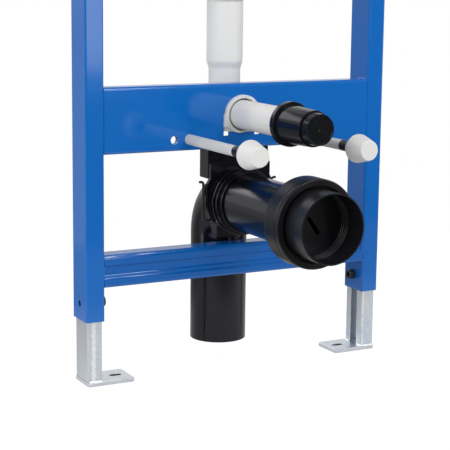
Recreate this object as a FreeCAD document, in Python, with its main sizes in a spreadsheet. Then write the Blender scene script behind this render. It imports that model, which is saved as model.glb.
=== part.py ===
import FreeCAD, Part
import math
import os
import Sketcher

# Wall hung toilet frame: a steel frame on two drawn-out legs, with its cistern, flush pipe,
# waste bend and the two studs that carry the bowl.
#
# Frame coordinates, in millimetres: X runs across the frame from its centre line, Y back from the
# front faces of the posts, Z up from the foot of the posts. Each piece is drawn in them or about
# its own axis, and its Placement carries it to the origin of the model, which is the middle of
# the wall face of the left wall plate.

SIZES = {
    # Posts and legs
    "frame_width": 520,
    "post_width": 30,
    "post_depth": 54,
    "post_wall": 2,
    "post_corner": 3,
    "post_length": 1020,
    "leg_drawn": 100,
    "leg_length": 290,
    "leg_clearance": 1,
    "leg_wall": 2.5,
    "leg_corner": 3,
    "leg_slot": 18,
    "foot_length": 76,
    "foot_depth": 54,
    "foot_thickness": 6,
    "foot_corner": 3,
    "foot_setback": 3,
    "foot_slot_length": 20,
    "foot_slot_width": 10,
    "foot_slot_place": 55,
    # Screws that clamp the legs
    "clamp_height": 25,
    "clamp_bore": 11,
    "side_hole": 10,
    "screw_radius": 5,
    "screw_length": 20,
    "screw_head_radius": 8,
    "screw_head_height": 10,
    "screw_head_round": 1,
    "socket_across": 8,
    "socket_depth": 5,
    "nut_thickness": 8,
    "nut_width": 30,
    "nut_height": 20,
    "nut_gap": 0.4,
    "thread_gap": 0.05,
    # Lower rail and top rail
    "rail_low": 51,
    "rail_height": 50,
    "rail_depth": 28,
    "rail_wall": 2,
    "rail_bend": 4,
    "rail_step_down": 17,
    "rail_step_middle": 20.5,
    "rail_step_up": 12,
    "rail_groove": 3,
    "top_rail_height": 40,
    "top_rail_depth": 26,
    # Crossbar
    "stud_over_crossbar": 17,
    "crossbar_height": 100,
    "crossbar_depth": 25,
    "crossbar_lip": 8.7,
    "crossbar_wall": 3,
    "crossbar_bend": 5,
    "weld_nut_across": 19,
    "weld_nut_height": 8,
    # Studs that carry the bowl
    "stud_over_waste": 100,
    "stud_spacing": 180,
    "spare_spacing": 230,
    "spare_hole": 13,
    "stud_radius": 6,
    "stud_back": 28,
    "stud_gap": 0.3,
    "sleeve_wall": 1.7,
    "sleeve_end": 150,
    "bushing_step": 0.2,
    "bushing_end": 182,
    "bowl_cap_radius": 21.7,
    "bowl_cap_front_radius": 14.5,
    "bowl_cap_length": 39,
    "bowl_cap_wide": 9,
    "bowl_cap_rear_radius": 17,
    "bowl_cap_bore_end": 20,
    "bowl_cap_front_round": 2,
    "bowl_cap_belly_round": 7,
    # Flush pipe and its holder
    "flush_over_studs": 35,
    "flush_back": 60,
    "flush_front_radius": 22.5,
    "flush_fit": 0.1,
    "flush_wall": 2.4,
    "flush_bend": 45,
    "flush_bend_end": 8,
    "flush_insert": 14,
    "flush_front_end": 185,
    "flush_bell_step": 3.5,
    "flush_bell_rise": 62.5,
    "flush_neck": 6,
    "flush_taper": 10,
    "flush_taper_round": 12,
    "holder_wall": 5.5,
    "holder_front": 6,
    "holder_foot": 4,
    "holder_drop": 26.4,
    "holder_wing_reach": 32,
    "holder_wing_low": 18,
    "holder_wing_high": 2,
    "holder_round": 1.5,
    "holder_gap": 0.3,
    "cutout_gap": 0.4,
    "cutout_half_width": 31.5,
    "cutout_drop": 26,
    "holder_plug_margin": 3.5,
    "holder_plug_depth": 12,
    "notch_inner": 22.5,
    "notch_depth": 6,
    "claw_height": 12,
    "claw_depth": 7,
    "claw_hook": 2,
    # Cap on the flush pipe
    "cap_start": 143,
    "cap_lip_step": 10.5,
    "cap_lip_width": 10,
    "cap_lip_round": 1.5,
    "cap_step": 6,
    "cap_groove": 215,
    "cap_groove_width": 4,
    "cap_groove_depth": 1.2,
    "cap_taper": 2.3,
    "cap_nose_step": 1.2,
    "cap_end": 230.5,
    "cap_nose_round": 1.2,
    "cap_wall": 2.5,
    "cap_dish": 1,
    "cap_ring_radius": 13,
    "cap_ring_width": 1.2,
    "cap_dimple": 2.5,
    # Waste bend
    "waste_over_rail": 68,
    "waste_radius": 45,
    "waste_wall": 3,
    "waste_bend": 60,
    "waste_fall": 235,
    "waste_front": 205,
    "rail_gap": 1,
    # Holder, clamp and clips of the waste bend
    "bracket_margin": 8,
    "bracket_depth": 29,
    "bracket_top": 10,
    "bracket_wall": 4,
    "bracket_rise": 36,
    "bracket_corner": 2,
    "hook_half_width": 20,
    "hook_wall": 3,
    "hook_reach": 4.5,
    "pipe_gap": 0.3,
    "clamp_thickness": 6.7,
    "clamp_neck": 7,
    "clamp_neck_rise": 38,
    "clamp_ear": 14,
    "clamp_ear_rise": 26,
    "clamp_ear_height": 18,
    "clamp_arch_rise": 69,
    "clamp_arch_radius": 140,
    "clamp_corner": 3,
    "cheek_wall": 12.5,
    "cheek_drop": 32,
    "cheek_slot_inner": 4.5,
    "cheek_slot_outer": 9,
    "ring_wall": 8.8,
    "ring_front": 8,
    "ring_chamfer": 0.8,
    "ring_groove": 5,
    "ring_groove_width": 4,
    "ridge_wall": 6.5,
    "ridge_front": 17,
    "rim_wall": 3,
    "rim_front": 26,
    "skirt_half_width": 37.5,
    "skirt_depth": 21,
    "skirt_gap": 11,
    "skirt_rise": 30,
    "skirt_round": 18,
    "clip_radius": 2,
    "clip_reach": 7.5,
    "clip_tip": 7,
    "clip_top_bend": 4,
    "clip_low_bend": 7,
    "clip_top_rise": 31.5,
    "clip_drop": 30,
    "clip_return": 14,
    "seat_gap": 0.3,
    # Connector for the bowl: sealing collar and protective cup
    "collar_start": 181,
    "collar_end": 228,
    "collar_wall": 9,
    "collar_lip_width": 6,
    "collar_lip_drop": 5,
    "collar_shoulder_round": 4.5,
    "collar_groove": 217,
    "collar_groove_depth": 1.5,
    "collar_front_round": 2.5,
    "collar_mouth_step": 5,
    "collar_mouth_depth": 12,
    "cup_gap": 0.3,
    "cup_step": 6.5,
    "cup_wall": 2,
    "cup_end": 270,
    "cup_floor": 208,
    "cup_rib_height": 0.7,
    "cup_rib_width": 1.2,
    "cup_rib_pitch": 5,
    "cup_slot_length": 31,
    "cup_slot_width": 6,
    "cup_slot_side": 4.5,
    "cup_slot_drop": 5,
    # Cistern and what carries it
    "tank_over_crossbar": 168,
    "tank_width": 400,
    "tank_depth": 108,
    "tank_front": 27,
    "tank_under_rail": 40,
    "tank_corner": 18,
    "tank_wall": 4,
    "outlet_step": 7.5,
    "outlet_length": 41.5,
    "outlet_collar": 12,
    "access_width": 235,
    "access_height": 155,
    "access_drop": 40,
    "access_front": 62,
    "access_wall": 3,
    "access_corner": 6,
    "tank_bracket_drop": 60,
    "tank_bracket_height": 60,
    "tank_bracket_wall": 3,
    "tank_bracket_setback": 8,
    "tank_bracket_reach": 40,
    "inlet_radius": 10.5,
    "inlet_length": 40,
    "inlet_flange_radius": 16,
    "inlet_flange_height": 4,
    "inlet_bore": 7,
    # Wall fixings
    "wall_gap": 100,
    "wall_plate_width": 30,
    "wall_plate_height": 90,
    "wall_plate_thickness": 5,
    "wall_plate_corner": 3,
    "wall_plate_drop": 45,
    "wall_hole": 9,
    "wall_hole_rise": 30,
    "bolt_radius": 5,
    "bolt_drop": 25,
    "bolt_hole": 11,
    "bolt_recess": 1,
    "bolt_head_across": 17,
    "bolt_head_height": 7,
}

SIDES = (("left", -1), ("right", 1))
HEXAGON_STEP = math.radians(60)
CHEEK_SLOT_TURNS = [math.radians(angle) for angle in (7, -2, -11, -20, -29)]
CUP_RIBS = 4
CUP_SLOT_TURN = math.radians(-55)
TOUCHING = 0.01


class Size:
    """A length together with the expression that gives it, so that a drawn point can be bound to it."""

    def __init__(self, text, value):
        self.text = text
        self.value = value

    def __add__(self, other):
        other = as_size(other)
        return Size(f"({self.text} + {other.text})", self.value + other.value)

    def __sub__(self, other):
        other = as_size(other)
        return Size(f"({self.text} - {other.text})", self.value - other.value)

    def __mul__(self, other):
        other = as_size(other)
        return Size(f"({self.text} * {other.text})", self.value * other.value)

    def __truediv__(self, other):
        other = as_size(other)
        return Size(f"({self.text} / {other.text})", self.value / other.value)

    def __neg__(self):
        return Size(f"(0 - {self.text})", -self.value)

    __radd__ = __add__
    __rmul__ = __mul__


def as_size(number):
    """Takes a Size as it is and a plain number as one."""
    return number if isinstance(number, Size) else Size(f"({number:.9g})", float(number))


class Sheet:
    """The driving sizes by name, each bound to its cell."""


os.makedirs("parts", exist_ok=True)
doc = FreeCAD.newDocument("wall_hung_toilet_frame")
cells = doc.addObject("Spreadsheet::Sheet", "Sizes")
d = Sheet()
for row, (alias, number) in enumerate(SIZES.items(), start=1):
    cells.set(f"A{row}", alias)
    cells.set(f"B{row}", str(number))
    cells.setAlias(f"B{row}", alias)
    setattr(d, alias, Size(f"Sizes.{alias}", float(number)))
doc.recompute()

sub_parts = []

# Places that several pieces share
half_width = d.frame_width / 2
post_inside = half_width - d.post_width
post_middle = half_width - d.post_width / 2
post_centre_depth = d.post_depth / 2
rail_high = d.rail_low + d.rail_height
waste_height = rail_high + d.waste_over_rail
waste_back = d.rail_depth + d.rail_gap + d.waste_radius
stud_height = waste_height + d.stud_over_waste
flush_height = stud_height + d.flush_over_studs
crossbar_low = stud_height - d.stud_over_crossbar
crossbar_high = crossbar_low + d.crossbar_height
tank_low = crossbar_high + d.tank_over_crossbar
tank_high = d.post_length - d.top_rail_height - d.tank_under_rail
access_high = tank_high - d.access_drop
access_low = access_high - d.access_height
wall_face = d.post_depth + d.wall_gap
wall_plate_middle = d.post_length - d.wall_plate_drop
bolt_height = wall_plate_middle - d.bolt_drop
flush_inner = d.flush_front_radius + d.flush_fit
flush_radius = flush_inner + d.flush_wall
bracket_front = d.crossbar_lip + d.seat_gap
bracket_half_width = d.waste_radius + d.bracket_margin
pipe_bore = d.waste_radius + d.pipe_gap
cup_radius = d.waste_radius + d.cup_step


# Helpers for drawing

def new_body(label):
    """Starts a sub-part, which is a body of its own."""
    body = doc.addObject("PartDesign::Body", label)
    body.Label = label
    sub_parts.append(body)
    return body


def seat(body, x=0, y=0, z=0):
    """Carries a piece drawn about the point x, y, z of the frame to its place in the model."""
    origin = (-post_middle, wall_face, wall_plate_middle)
    for axis, place, zero in zip("xyz", (x, y, z), origin):
        body.setExpression(f"Placement.Base.{axis}", (as_size(place) - zero).text)


def polygon(*points):
    """A closed outline of straight runs through the given points."""
    return "polygon", [(as_size(x), as_size(y)) for x, y in points]


def rectangle(x_low, y_low, x_high, y_high):
    """An upright rectangle between two corners."""
    return polygon((x_low, y_low), (x_high, y_low), (x_high, y_high), (x_low, y_high))


def turned_rectangle(x, y, length, width, angle):
    """A rectangle about a middle point, turned in its plane."""
    cosine, sine = math.cos(angle), math.sin(angle)
    corners = []
    for along, across in ((-1, -1), (1, -1), (1, 1), (-1, 1)):
        reach, side = along * length / 2, across * width / 2
        corners.append((x + reach * cosine - side * sine, y + reach * sine + side * cosine))
    return polygon(*corners)


def hexagon(x, y, across, first_corner=0):
    """A hexagon given across its flats, with its first corner at an angle."""
    corner_radius = across / 2 / math.cos(HEXAGON_STEP / 2)
    angles = [first_corner + HEXAGON_STEP * number for number in range(6)]
    return polygon(*[
        (x + corner_radius * math.cos(angle), y + corner_radius * math.sin(angle)) for angle in angles
    ])


def circle(x, y, radius):
    """A round outline."""
    return "circle", (as_size(x), as_size(y), as_size(radius))


def slot(x, y, length, width):
    """A slot along the first axis of its sketch."""
    return "slot", (as_size(x), as_size(y), as_size(length), as_size(width))


def bind(sketch, kind, members, length):
    """Adds one dimension to a sketch and ties it to the sheet."""
    index = sketch.addConstraint(Sketcher.Constraint(kind, *members, length.value))
    if "Sizes." in length.text:
        sketch.setExpression(f"Constraints[{index}]", length.text)


def bind_point(sketch, member, place, x, y):
    """Ties a point of a sketch to its two coordinates."""
    bind(sketch, "DistanceX", (-1, 1, member, place), x)
    bind(sketch, "DistanceY", (-1, 1, member, place), y)


def flat_vector(x, y):
    """A point of a sketch from two sizes."""
    return FreeCAD.Vector(x.value, y.value, 0)


def add_polygon(sketch, points):
    """Draws a closed outline and binds each corner to its two coordinates."""
    first = sketch.GeometryCount
    count = len(points)
    for number in range(count):
        start, end = points[number], points[(number + 1) % count]
        sketch.addGeometry(Part.LineSegment(flat_vector(*start), flat_vector(*end)), False)
    for number in range(count):
        following = first + (number + 1) % count
        sketch.addConstraint(Sketcher.Constraint("Coincident", first + number, 2, following, 1))
    for number, (x, y) in enumerate(points):
        bind_point(sketch, first + number, 1, x, y)


def add_circle(sketch, x, y, radius):
    """Draws a circle and binds its centre and radius."""
    up = FreeCAD.Vector(0, 0, 1)
    index = sketch.addGeometry(Part.Circle(flat_vector(x, y), up, radius.value), False)
    bind_point(sketch, index, 3, x, y)
    bind(sketch, "Radius", (index,), radius)


def add_arc(sketch, x, y, radius, start, end):
    """Draws an arc between two angles and binds its centre and radius."""
    whole = Part.Circle(flat_vector(x, y), FreeCAD.Vector(0, 0, 1), radius.value)
    index = sketch.addGeometry(Part.ArcOfCircle(whole, start, end), False)
    bind_point(sketch, index, 3, x, y)
    bind(sketch, "Radius", (index,), radius)
    return index


def add_slot(sketch, x, y, length, width):
    """Draws a slot, given its end-to-end length and its width."""
    radius = width / 2
    reach = (length - width) / 2
    quarter = math.pi / 2
    left = add_arc(sketch, x - reach, y, radius, quarter, 3 * quarter)
    right = add_arc(sketch, x + reach, y, radius, -quarter, quarter)
    for arc in (left, right):
        for end in (1, 2):
            sketch.addConstraint(Sketcher.Constraint("Vertical", arc, 3, arc, end))
    for start_arc, end_arc, sign in ((left, right, -1), (right, left, 1)):
        level = y + sign * radius
        run = Part.LineSegment(flat_vector(x + sign * reach, level), flat_vector(x - sign * reach, level))
        line = sketch.addGeometry(run, False)
        sketch.addConstraint(Sketcher.Constraint("Coincident", start_arc, 2, line, 1))
        sketch.addConstraint(Sketcher.Constraint("Coincident", line, 2, end_arc, 1))


def new_sketch(body, role, offset=0):
    """Starts a sketch on one of the body's own planes, at an offset along the plane's normal."""
    plane = next(item for item in body.Origin.OriginFeatures if item.Role == role)
    sketch = body.newObject("Sketcher::SketchObject", f"{body.Label}_sketch")
    sketch.AttachmentSupport = [(plane, "")]
    sketch.MapMode = "FlatFace"
    sketch.Visibility = False
    offset = as_size(offset)
    shift = FreeCAD.Vector(0, 0, offset.value)
    sketch.AttachmentOffset = FreeCAD.Placement(shift, FreeCAD.Rotation())
    if "Sizes." in offset.text:
        sketch.setExpression("AttachmentOffset.Base.z", offset.text)
    return sketch


def draw(body, role, *outlines, offset=0):
    """Makes a sketch of closed outlines."""
    sketch = new_sketch(body, role, offset)
    for kind, values in outlines:
        if kind == "polygon":
            add_polygon(sketch, values)
        elif kind == "circle":
            add_circle(sketch, *values)
        else:
            add_slot(sketch, *values)
    return sketch


def draw_path(body, role, points, radii, offset=0):
    """Makes a sketch of level and upright runs, joined at their corners by quarter arcs."""
    sketch = new_sketch(body, role, offset)
    points = [(as_size(x), as_size(y)) for x, y in points]
    joints = []
    for before, corner, after, radius in zip(points, points[1:], points[2:], radii):
        radius = as_size(radius)
        come = [math.copysign(1, b.value - a.value) * (a.value != b.value) for a, b in zip(before, corner)]
        go = [math.copysign(1, b.value - a.value) * (a.value != b.value) for a, b in zip(corner, after)]
        centre = [place + radius * (b - a) for place, a, b in zip(corner, come, go)]
        arrival, departure = math.atan2(-go[1], -go[0]), math.atan2(come[1], come[0])
        left_turn = come[0] * go[1] - come[1] * go[0] > 0
        start, end = (arrival, departure) if left_turn else (departure, arrival)
        arc = add_arc(sketch, *centre, radius, start, end if end > start else end + 2 * math.pi)
        first, last = (1, 2) if left_turn else (2, 1)
        along_go, along_come = ("Vertical", "Horizontal") if go[1] else ("Horizontal", "Vertical")
        sketch.addConstraint(Sketcher.Constraint(along_go, arc, 3, arc, first))
        sketch.addConstraint(Sketcher.Constraint(along_come, arc, 3, arc, last))
        arrive = [place - radius * a for place, a in zip(corner, come)]
        leave = [place + radius * b for place, b in zip(corner, go)]
        joints.append((arc, first, last, arrive, leave))
    starts = [points[0]] + [joint[4] for joint in joints]
    ends = [joint[3] for joint in joints] + [points[-1]]
    for number, (start, end) in enumerate(zip(starts, ends)):
        line = sketch.addGeometry(Part.LineSegment(flat_vector(*start), flat_vector(*end)), False)
        if number == 0:
            bind_point(sketch, line, 1, *points[0])
        else:
            arc, _, last, _, _ = joints[number - 1]
            sketch.addConstraint(Sketcher.Constraint("Coincident", arc, last, line, 1))
        if number == len(joints):
            bind_point(sketch, line, 2, *points[-1])
        else:
            arc, first, _, _, _ = joints[number]
            sketch.addConstraint(Sketcher.Constraint("Coincident", line, 2, arc, first))
    return sketch


# Helpers for features

def feature(body, kind, sketch, length=None):
    """Adds a feature made from a sketch, with its length bound to the sheet."""
    made = body.newObject(f"PartDesign::{kind}", f"{body.Label}_{kind.lower()}")
    made.Profile = sketch
    if length is not None:
        length = as_size(length)
        made.Length = length.value
        made.setExpression("Length", length.text)
    doc.recompute()
    return made


def pad(body, sketch, length):
    """Raises a sketch along its normal."""
    return feature(body, "Pad", sketch, length)


def cut_volume(body, make_cut):
    """Makes a cut and checks that it takes something away."""
    doc.recompute()
    before = body.Shape.Volume
    made = make_cut()
    doc.recompute()
    if body.Shape.Volume >= before:
        raise ValueError(f"a cut in {body.Label} takes nothing away")
    return made


def pocket(body, sketch, length):
    """Cuts a sketch into the body against its normal."""
    return cut_volume(body, lambda: feature(body, "Pocket", sketch, length))


def revolve(body, sketch, axis):
    """Turns a sketch a whole turn about one of its own axes."""
    made = feature(body, "Revolution", sketch)
    made.ReferenceAxis = (sketch, [axis])
    made.Angle = 360
    doc.recompute()
    return made


def sweep(body, kind, section, path):
    """Carries a section along a path."""
    made = body.newObject(f"PartDesign::{kind}", f"{body.Label}_pipe")
    made.Profile = section
    made.Spine = (path, [])
    made.Transition = 0
    return made


def fillet(body, radius, chosen):
    """Rounds the edges of the body whose middle point and direction pass a test."""
    doc.recompute()
    base = body.Tip
    names = []
    for number, edge in enumerate(base.Shape.Edges, start=1):
        if edge.Degenerated:
            continue
        half_way = (edge.FirstParameter + edge.LastParameter) / 2
        if chosen(edge.valueAt(half_way), edge.tangentAt(half_way), edge):
            names.append(f"Edge{number}")
    if not names:
        raise ValueError(f"no edge of {body.Label} is there to round")
    made = body.newObject("PartDesign::Fillet", f"{body.Label}_fillet")
    made.Base = (base, names)
    radius = as_size(radius)
    made.Radius = radius.value
    made.setExpression("Radius", radius.text)
    body.Tip = made
    return made


def near(measured, size):
    """True where a measured coordinate lies on a size."""
    return abs(measured - as_size(size).value) < TOUCHING


def is_round(edge):
    """True for an edge that is a circle or an arc."""
    return isinstance(edge.Curve, Part.Circle)


def ring_edges(front, radius):
    """Picks the circles of a given radius at a given distance in front of a piece's own origin."""
    def chosen(middle, along, edge):
        return is_round(edge) and near(middle.y, -as_size(front)) and near(edge.Curve.Radius, radius)
    return chosen


def level_rings(height, radius):
    """Picks the circles of a given radius at a given height of an upright piece."""
    def chosen(middle, along, edge):
        return is_round(edge) and near(middle.z, height) and near(edge.Curve.Radius, radius)
    return chosen


def edges_along(axis, **places):
    """Picks straight edges along an axis, at given distances from the other axes' planes."""
    def chosen(middle, along, edge):
        if is_round(edge) or not near(abs(getattr(along, axis)), 1):
            return False
        return all(
            any(near(abs(getattr(middle, name)), abs_size(place)) for place in wanted)
            for name, wanted in places.items()
        )
    return chosen


def abs_size(size):
    """The plain distance of a size."""
    return abs(as_size(size).value)


def turned(label, points, x=0, y=0, z=0):
    """A piece turned about its own Y axis, from points of distance to the front and radius."""
    body = new_body(label)
    profile = polygon(*[(-as_size(front), radius) for front, radius in points])
    revolve(body, draw(body, "YZ_Plane", profile), "H_Axis")
    seat(body, x, y, z)
    return body


def upright(label, points, x=0, y=0, z=0):
    """A piece turned about its own Z axis, from points of radius and height."""
    body = new_body(label)
    revolve(body, draw(body, "XZ_Plane", polygon(*points)), "V_Axis")
    seat(body, x, y, z)
    return body


def channel(body, half_length, low, high, depth, lip, wall, bend):
    """A bent channel across the frame, open at the back, with a top flange and a lower lip."""
    profile = polygon(
        (0, low),
        (lip, low),
        (lip, low + wall),
        (wall, low + wall),
        (wall, high - wall),
        (depth, high - wall),
        (depth, high),
        (0, high),
    )
    pad(body, draw(body, "YZ_Plane", profile, offset=-half_length), half_length * 2)
    fillet(body, bend, edges_along("x", y=[0]))
    fillet(body, bend - wall, edges_along("x", y=[wall], z=[low + wall, high - wall]))


# Posts: rectangular tube with a hole for the screw that clamps the leg

def make_post(side, sign):
    body = new_body(f"post_{side}")
    wall = d.post_wall
    outline = rectangle(half_width * sign, 0, post_inside * sign, d.post_depth)
    pad(body, draw(body, "XY_Plane", outline), d.post_length)
    fillet(body, d.post_corner, edges_along("z"))
    core = rectangle(
        (half_width - wall) * sign, wall, (post_inside + wall) * sign, d.post_depth - wall
    )
    pocket(body, draw(body, "XY_Plane", core, offset=d.post_length), d.post_length)
    core_edges = edges_along("z", x=[half_width - wall, post_inside + wall], y=[wall, d.post_depth - wall])
    fillet(body, d.post_corner - wall, core_edges)
    outer_hole = circle(post_centre_depth, d.clamp_height, d.side_hole / 2)
    outer_face = half_width if sign > 0 else wall - half_width
    pocket(body, draw(body, "YZ_Plane", outer_hole, offset=outer_face), wall)
    screw_hole = circle(post_centre_depth, d.clamp_height, d.clamp_bore / 2)
    inner_face = post_inside + wall if sign > 0 else -post_inside
    pocket(body, draw(body, "YZ_Plane", screw_hole, offset=inner_face), wall)
    bolt_hole = circle(post_middle * sign, bolt_height, d.bolt_hole / 2)
    pocket(body, draw(body, "XZ_Plane", bolt_hole), d.post_depth)
    seat(body)


for side, sign in SIDES:
    make_post(side, sign)


# Crossbar: pressed channel with weld nuts for the studs and a cut-out for the flush pipe

def make_crossbar():
    body = new_body("crossbar")
    wall, nut = d.crossbar_wall, d.weld_nut_height
    channel(
        body, post_inside, crossbar_low, crossbar_high, d.crossbar_depth, d.crossbar_lip, wall,
        d.crossbar_bend,
    )
    threads = ((d.stud_spacing, d.stud_radius + d.thread_gap), (d.spare_spacing, d.spare_hole / 2))
    for spacing, _ in threads:
        places = [sign * spacing / 2 for _, sign in SIDES]
        nuts = [hexagon(x, stud_height, d.weld_nut_across, HEXAGON_STEP / 2) for x in places]
        pad(body, draw(body, "XZ_Plane", *nuts, offset=-(wall + nut)), nut)
    for spacing, radius in threads:
        holes = [circle(sign * spacing / 2, stud_height, radius) for _, sign in SIDES]
        pocket(body, draw(body, "XZ_Plane", *holes), wall + nut)
    plug_radius = flush_radius + d.holder_plug_margin
    opening = circle(0, flush_height, plug_radius + d.cutout_gap)
    pocket(body, draw(body, "XZ_Plane", opening), wall)
    wide, inner = d.cutout_half_width, d.notch_inner
    bottom = flush_height - d.cutout_drop
    cutout = polygon(
        (-wide, flush_height),
        (-wide, bottom - d.notch_depth),
        (-inner, bottom - d.notch_depth),
        (-inner, bottom),
        (inner, bottom),
        (inner, bottom - d.notch_depth),
        (wide, bottom - d.notch_depth),
        (wide, flush_height),
    )
    pocket(body, draw(body, "XZ_Plane", cutout), wall)
    seat(body)


make_crossbar()


# Rails: the lower one roll-formed with a lengthwise groove, the top one plain

def make_lower_rail():
    body = new_body("lower_rail")
    low, high = d.rail_low, rail_high
    wall, groove = d.rail_wall, d.rail_groove
    step_down, step_middle, step_up = high - d.rail_step_down, low + d.rail_step_middle, low + d.rail_step_up
    half_groove, half_wall = groove / 2, wall / 2
    profile = polygon(
        (0, low),
        (d.rail_depth, low),
        (d.rail_depth, low + wall),
        (wall, low + wall),
        (wall, step_up - wall),
        (half_groove + wall, step_up),
        (half_groove + wall, step_middle - wall),
        (groove + wall, step_middle),
        (groove + wall, step_down),
        (wall, step_down + wall),
        (wall, high - wall),
        (d.rail_depth, high - wall),
        (d.rail_depth, high),
        (0, high),
        (0, step_down + half_wall),
        (groove, step_down - half_wall),
        (groove, step_middle + half_wall),
        (half_groove, step_middle - half_wall),
        (half_groove, step_up + half_wall),
        (0, step_up - half_wall),
    )
    pad(body, draw(body, "YZ_Plane", profile, offset=-post_inside), post_inside * 2)
    fillet(body, d.rail_bend, edges_along("x", y=[0], z=[low, high]))
    fillet(body, d.rail_bend - wall, edges_along("x", y=[wall], z=[low + wall, high - wall]))
    seat(body)


def make_top_rail():
    body = new_body("top_rail")
    low, high = d.post_length - d.top_rail_height, d.post_length
    depth = d.top_rail_depth
    channel(body, post_inside, low, high, depth, depth, d.rail_wall, d.rail_bend)
    seat(body)


make_lower_rail()
make_top_rail()


# Legs: galvanised channels that slide in the posts, each welded to its foot plate

def make_leg(side, sign):
    body = new_body(f"leg_{side}")
    inset = d.post_wall + d.leg_clearance
    x_out, x_in = half_width - inset, post_inside + inset
    y_low, y_high = inset, d.post_depth - inset
    wall = d.leg_wall
    slot_low, slot_high = post_centre_depth - d.leg_slot / 2, post_centre_depth + d.leg_slot / 2
    outline = (
        (x_in, slot_low),
        (x_in, y_low),
        (x_out, y_low),
        (x_out, y_high),
        (x_in, y_high),
        (x_in, slot_high),
        (x_in + wall, slot_high),
        (x_in + wall, y_high - wall),
        (x_out - wall, y_high - wall),
        (x_out - wall, y_low + wall),
        (x_in + wall, y_low + wall),
        (x_in + wall, slot_low),
    )
    profile = polygon(*[(x * sign, y) for x, y in outline])
    start = d.foot_thickness - d.leg_drawn
    pad(body, draw(body, "XY_Plane", profile, offset=start), d.leg_length)
    fillet(body, d.leg_corner, edges_along("z", x=[x_in, x_out], y=[y_low, y_high]))
    inner_corners = edges_along("z", x=[x_in + wall, x_out - wall], y=[y_low + wall, y_high - wall])
    fillet(body, d.leg_corner - wall, inner_corners)
    seat(body)


def make_foot(side, sign):
    body = new_body(f"foot_plate_{side}")
    outer = half_width - d.foot_setback
    y_low = post_centre_depth - d.foot_depth / 2
    outline = rectangle((outer - d.foot_length) * sign, y_low, outer * sign, y_low + d.foot_depth)
    pad(body, draw(body, "XY_Plane", outline, offset=-d.leg_drawn), d.foot_thickness)
    fillet(body, d.foot_corner, edges_along("z"))
    opening = slot(
        (outer - d.foot_slot_place) * sign, post_centre_depth, d.foot_slot_length, d.foot_slot_width
    )
    sketch = draw(body, "XY_Plane", opening, offset=d.foot_thickness - d.leg_drawn)
    pocket(body, sketch, d.foot_thickness)
    seat(body)


for side, sign in SIDES:
    make_leg(side, sign)
    make_foot(side, sign)


# Socket screws with slide nuts that clamp the legs

def make_clamp_screw(side, sign):
    body = new_body(f"clamp_screw_{side}")
    head, shank = d.screw_head_height, d.screw_length
    profile = polygon(
        (-head * sign, 0),
        (-head * sign, d.screw_head_radius),
        (0, d.screw_head_radius),
        (0, d.screw_radius),
        (shank * sign, d.screw_radius),
        (shank * sign, 0),
    )
    revolve(body, draw(body, "XZ_Plane", profile), "H_Axis")
    fillet(body, d.screw_head_round, lambda middle, along, edge: (
        is_round(edge) and near(middle.x, -head * sign)
    ))
    socket = hexagon(0, 0, d.socket_across, HEXAGON_STEP / 2)
    floor = (d.socket_depth - head) if sign > 0 else head
    pocket(body, draw(body, "YZ_Plane", socket, offset=floor), d.socket_depth)
    seat(body, post_inside * sign, post_centre_depth, d.clamp_height)


def make_clamp_nut(side, sign):
    body = new_body(f"clamp_nut_{side}")
    start = d.post_wall + d.leg_clearance + d.leg_wall + d.nut_gap
    outline = rectangle(-d.nut_width / 2, -d.nut_height / 2, d.nut_width / 2, d.nut_height / 2)
    bore = circle(0, 0, d.screw_radius + d.thread_gap)
    offset = start if sign > 0 else -(start + d.nut_thickness)
    pad(body, draw(body, "YZ_Plane", outline, bore, offset=offset), d.nut_thickness)
    seat(body, post_inside * sign, post_centre_depth, d.clamp_height)


for side, sign in SIDES:
    make_clamp_screw(side, sign)
    make_clamp_nut(side, sign)


# Studs that carry the bowl, with their sleeves, bushings and caps

def make_stud(side, sign):
    place = (sign * d.stud_spacing / 2, 0, stud_height)
    bore = d.stud_radius + d.stud_gap
    sleeve = bore + d.sleeve_wall
    bushing = sleeve + d.bushing_step
    cap_start = d.bushing_end
    cap_end = cap_start + d.bowl_cap_length
    cap_wide = cap_start + d.bowl_cap_wide
    rod_end = cap_start + d.bowl_cap_bore_end
    rod = ((-d.stud_back, 0), (-d.stud_back, d.stud_radius), (rod_end, d.stud_radius), (rod_end, 0))
    turned(f"stud_{side}", rod, *place)
    for label, start, end, radius in (
        ("stud_sleeve", as_size(0), d.sleeve_end, sleeve),
        ("stud_bushing", d.sleeve_end, cap_start, bushing),
    ):
        tube = ((start, bore), (start, radius), (end, radius), (end, bore))
        turned(f"{label}_{side}", tube, *place)
    cap_profile = (
        (cap_start, bore),
        (cap_start, d.bowl_cap_rear_radius),
        (cap_wide, d.bowl_cap_radius),
        (cap_end, d.bowl_cap_front_radius),
        (cap_end, 0),
        (rod_end + d.stud_gap, 0),
        (rod_end + d.stud_gap, bore),
    )
    cap = turned(f"bowl_cap_{side}", cap_profile, *place)
    fillet(cap, d.bowl_cap_front_round, ring_edges(cap_end, d.bowl_cap_front_radius))
    fillet(cap, d.bowl_cap_belly_round, ring_edges(cap_wide, d.bowl_cap_radius))


for side, sign in SIDES:
    make_stud(side, sign)


# Flush pipe from the cistern to the bowl

def make_flush_bend():
    body = new_body("flush_bend")
    top = flush_height + d.flush_bell_rise
    corner = (d.flush_back, flush_height)
    path = draw_path(
        body, "YZ_Plane", [(d.flush_back, top), corner, (d.flush_bend_end, flush_height)], [d.flush_bend]
    )
    rings = [circle(0, d.flush_back, radius) for radius in (flush_radius, flush_inner)]
    sweep(body, "AdditivePipe", draw(body, "XY_Plane", *rings, offset=top), path)
    seat(body)


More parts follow.
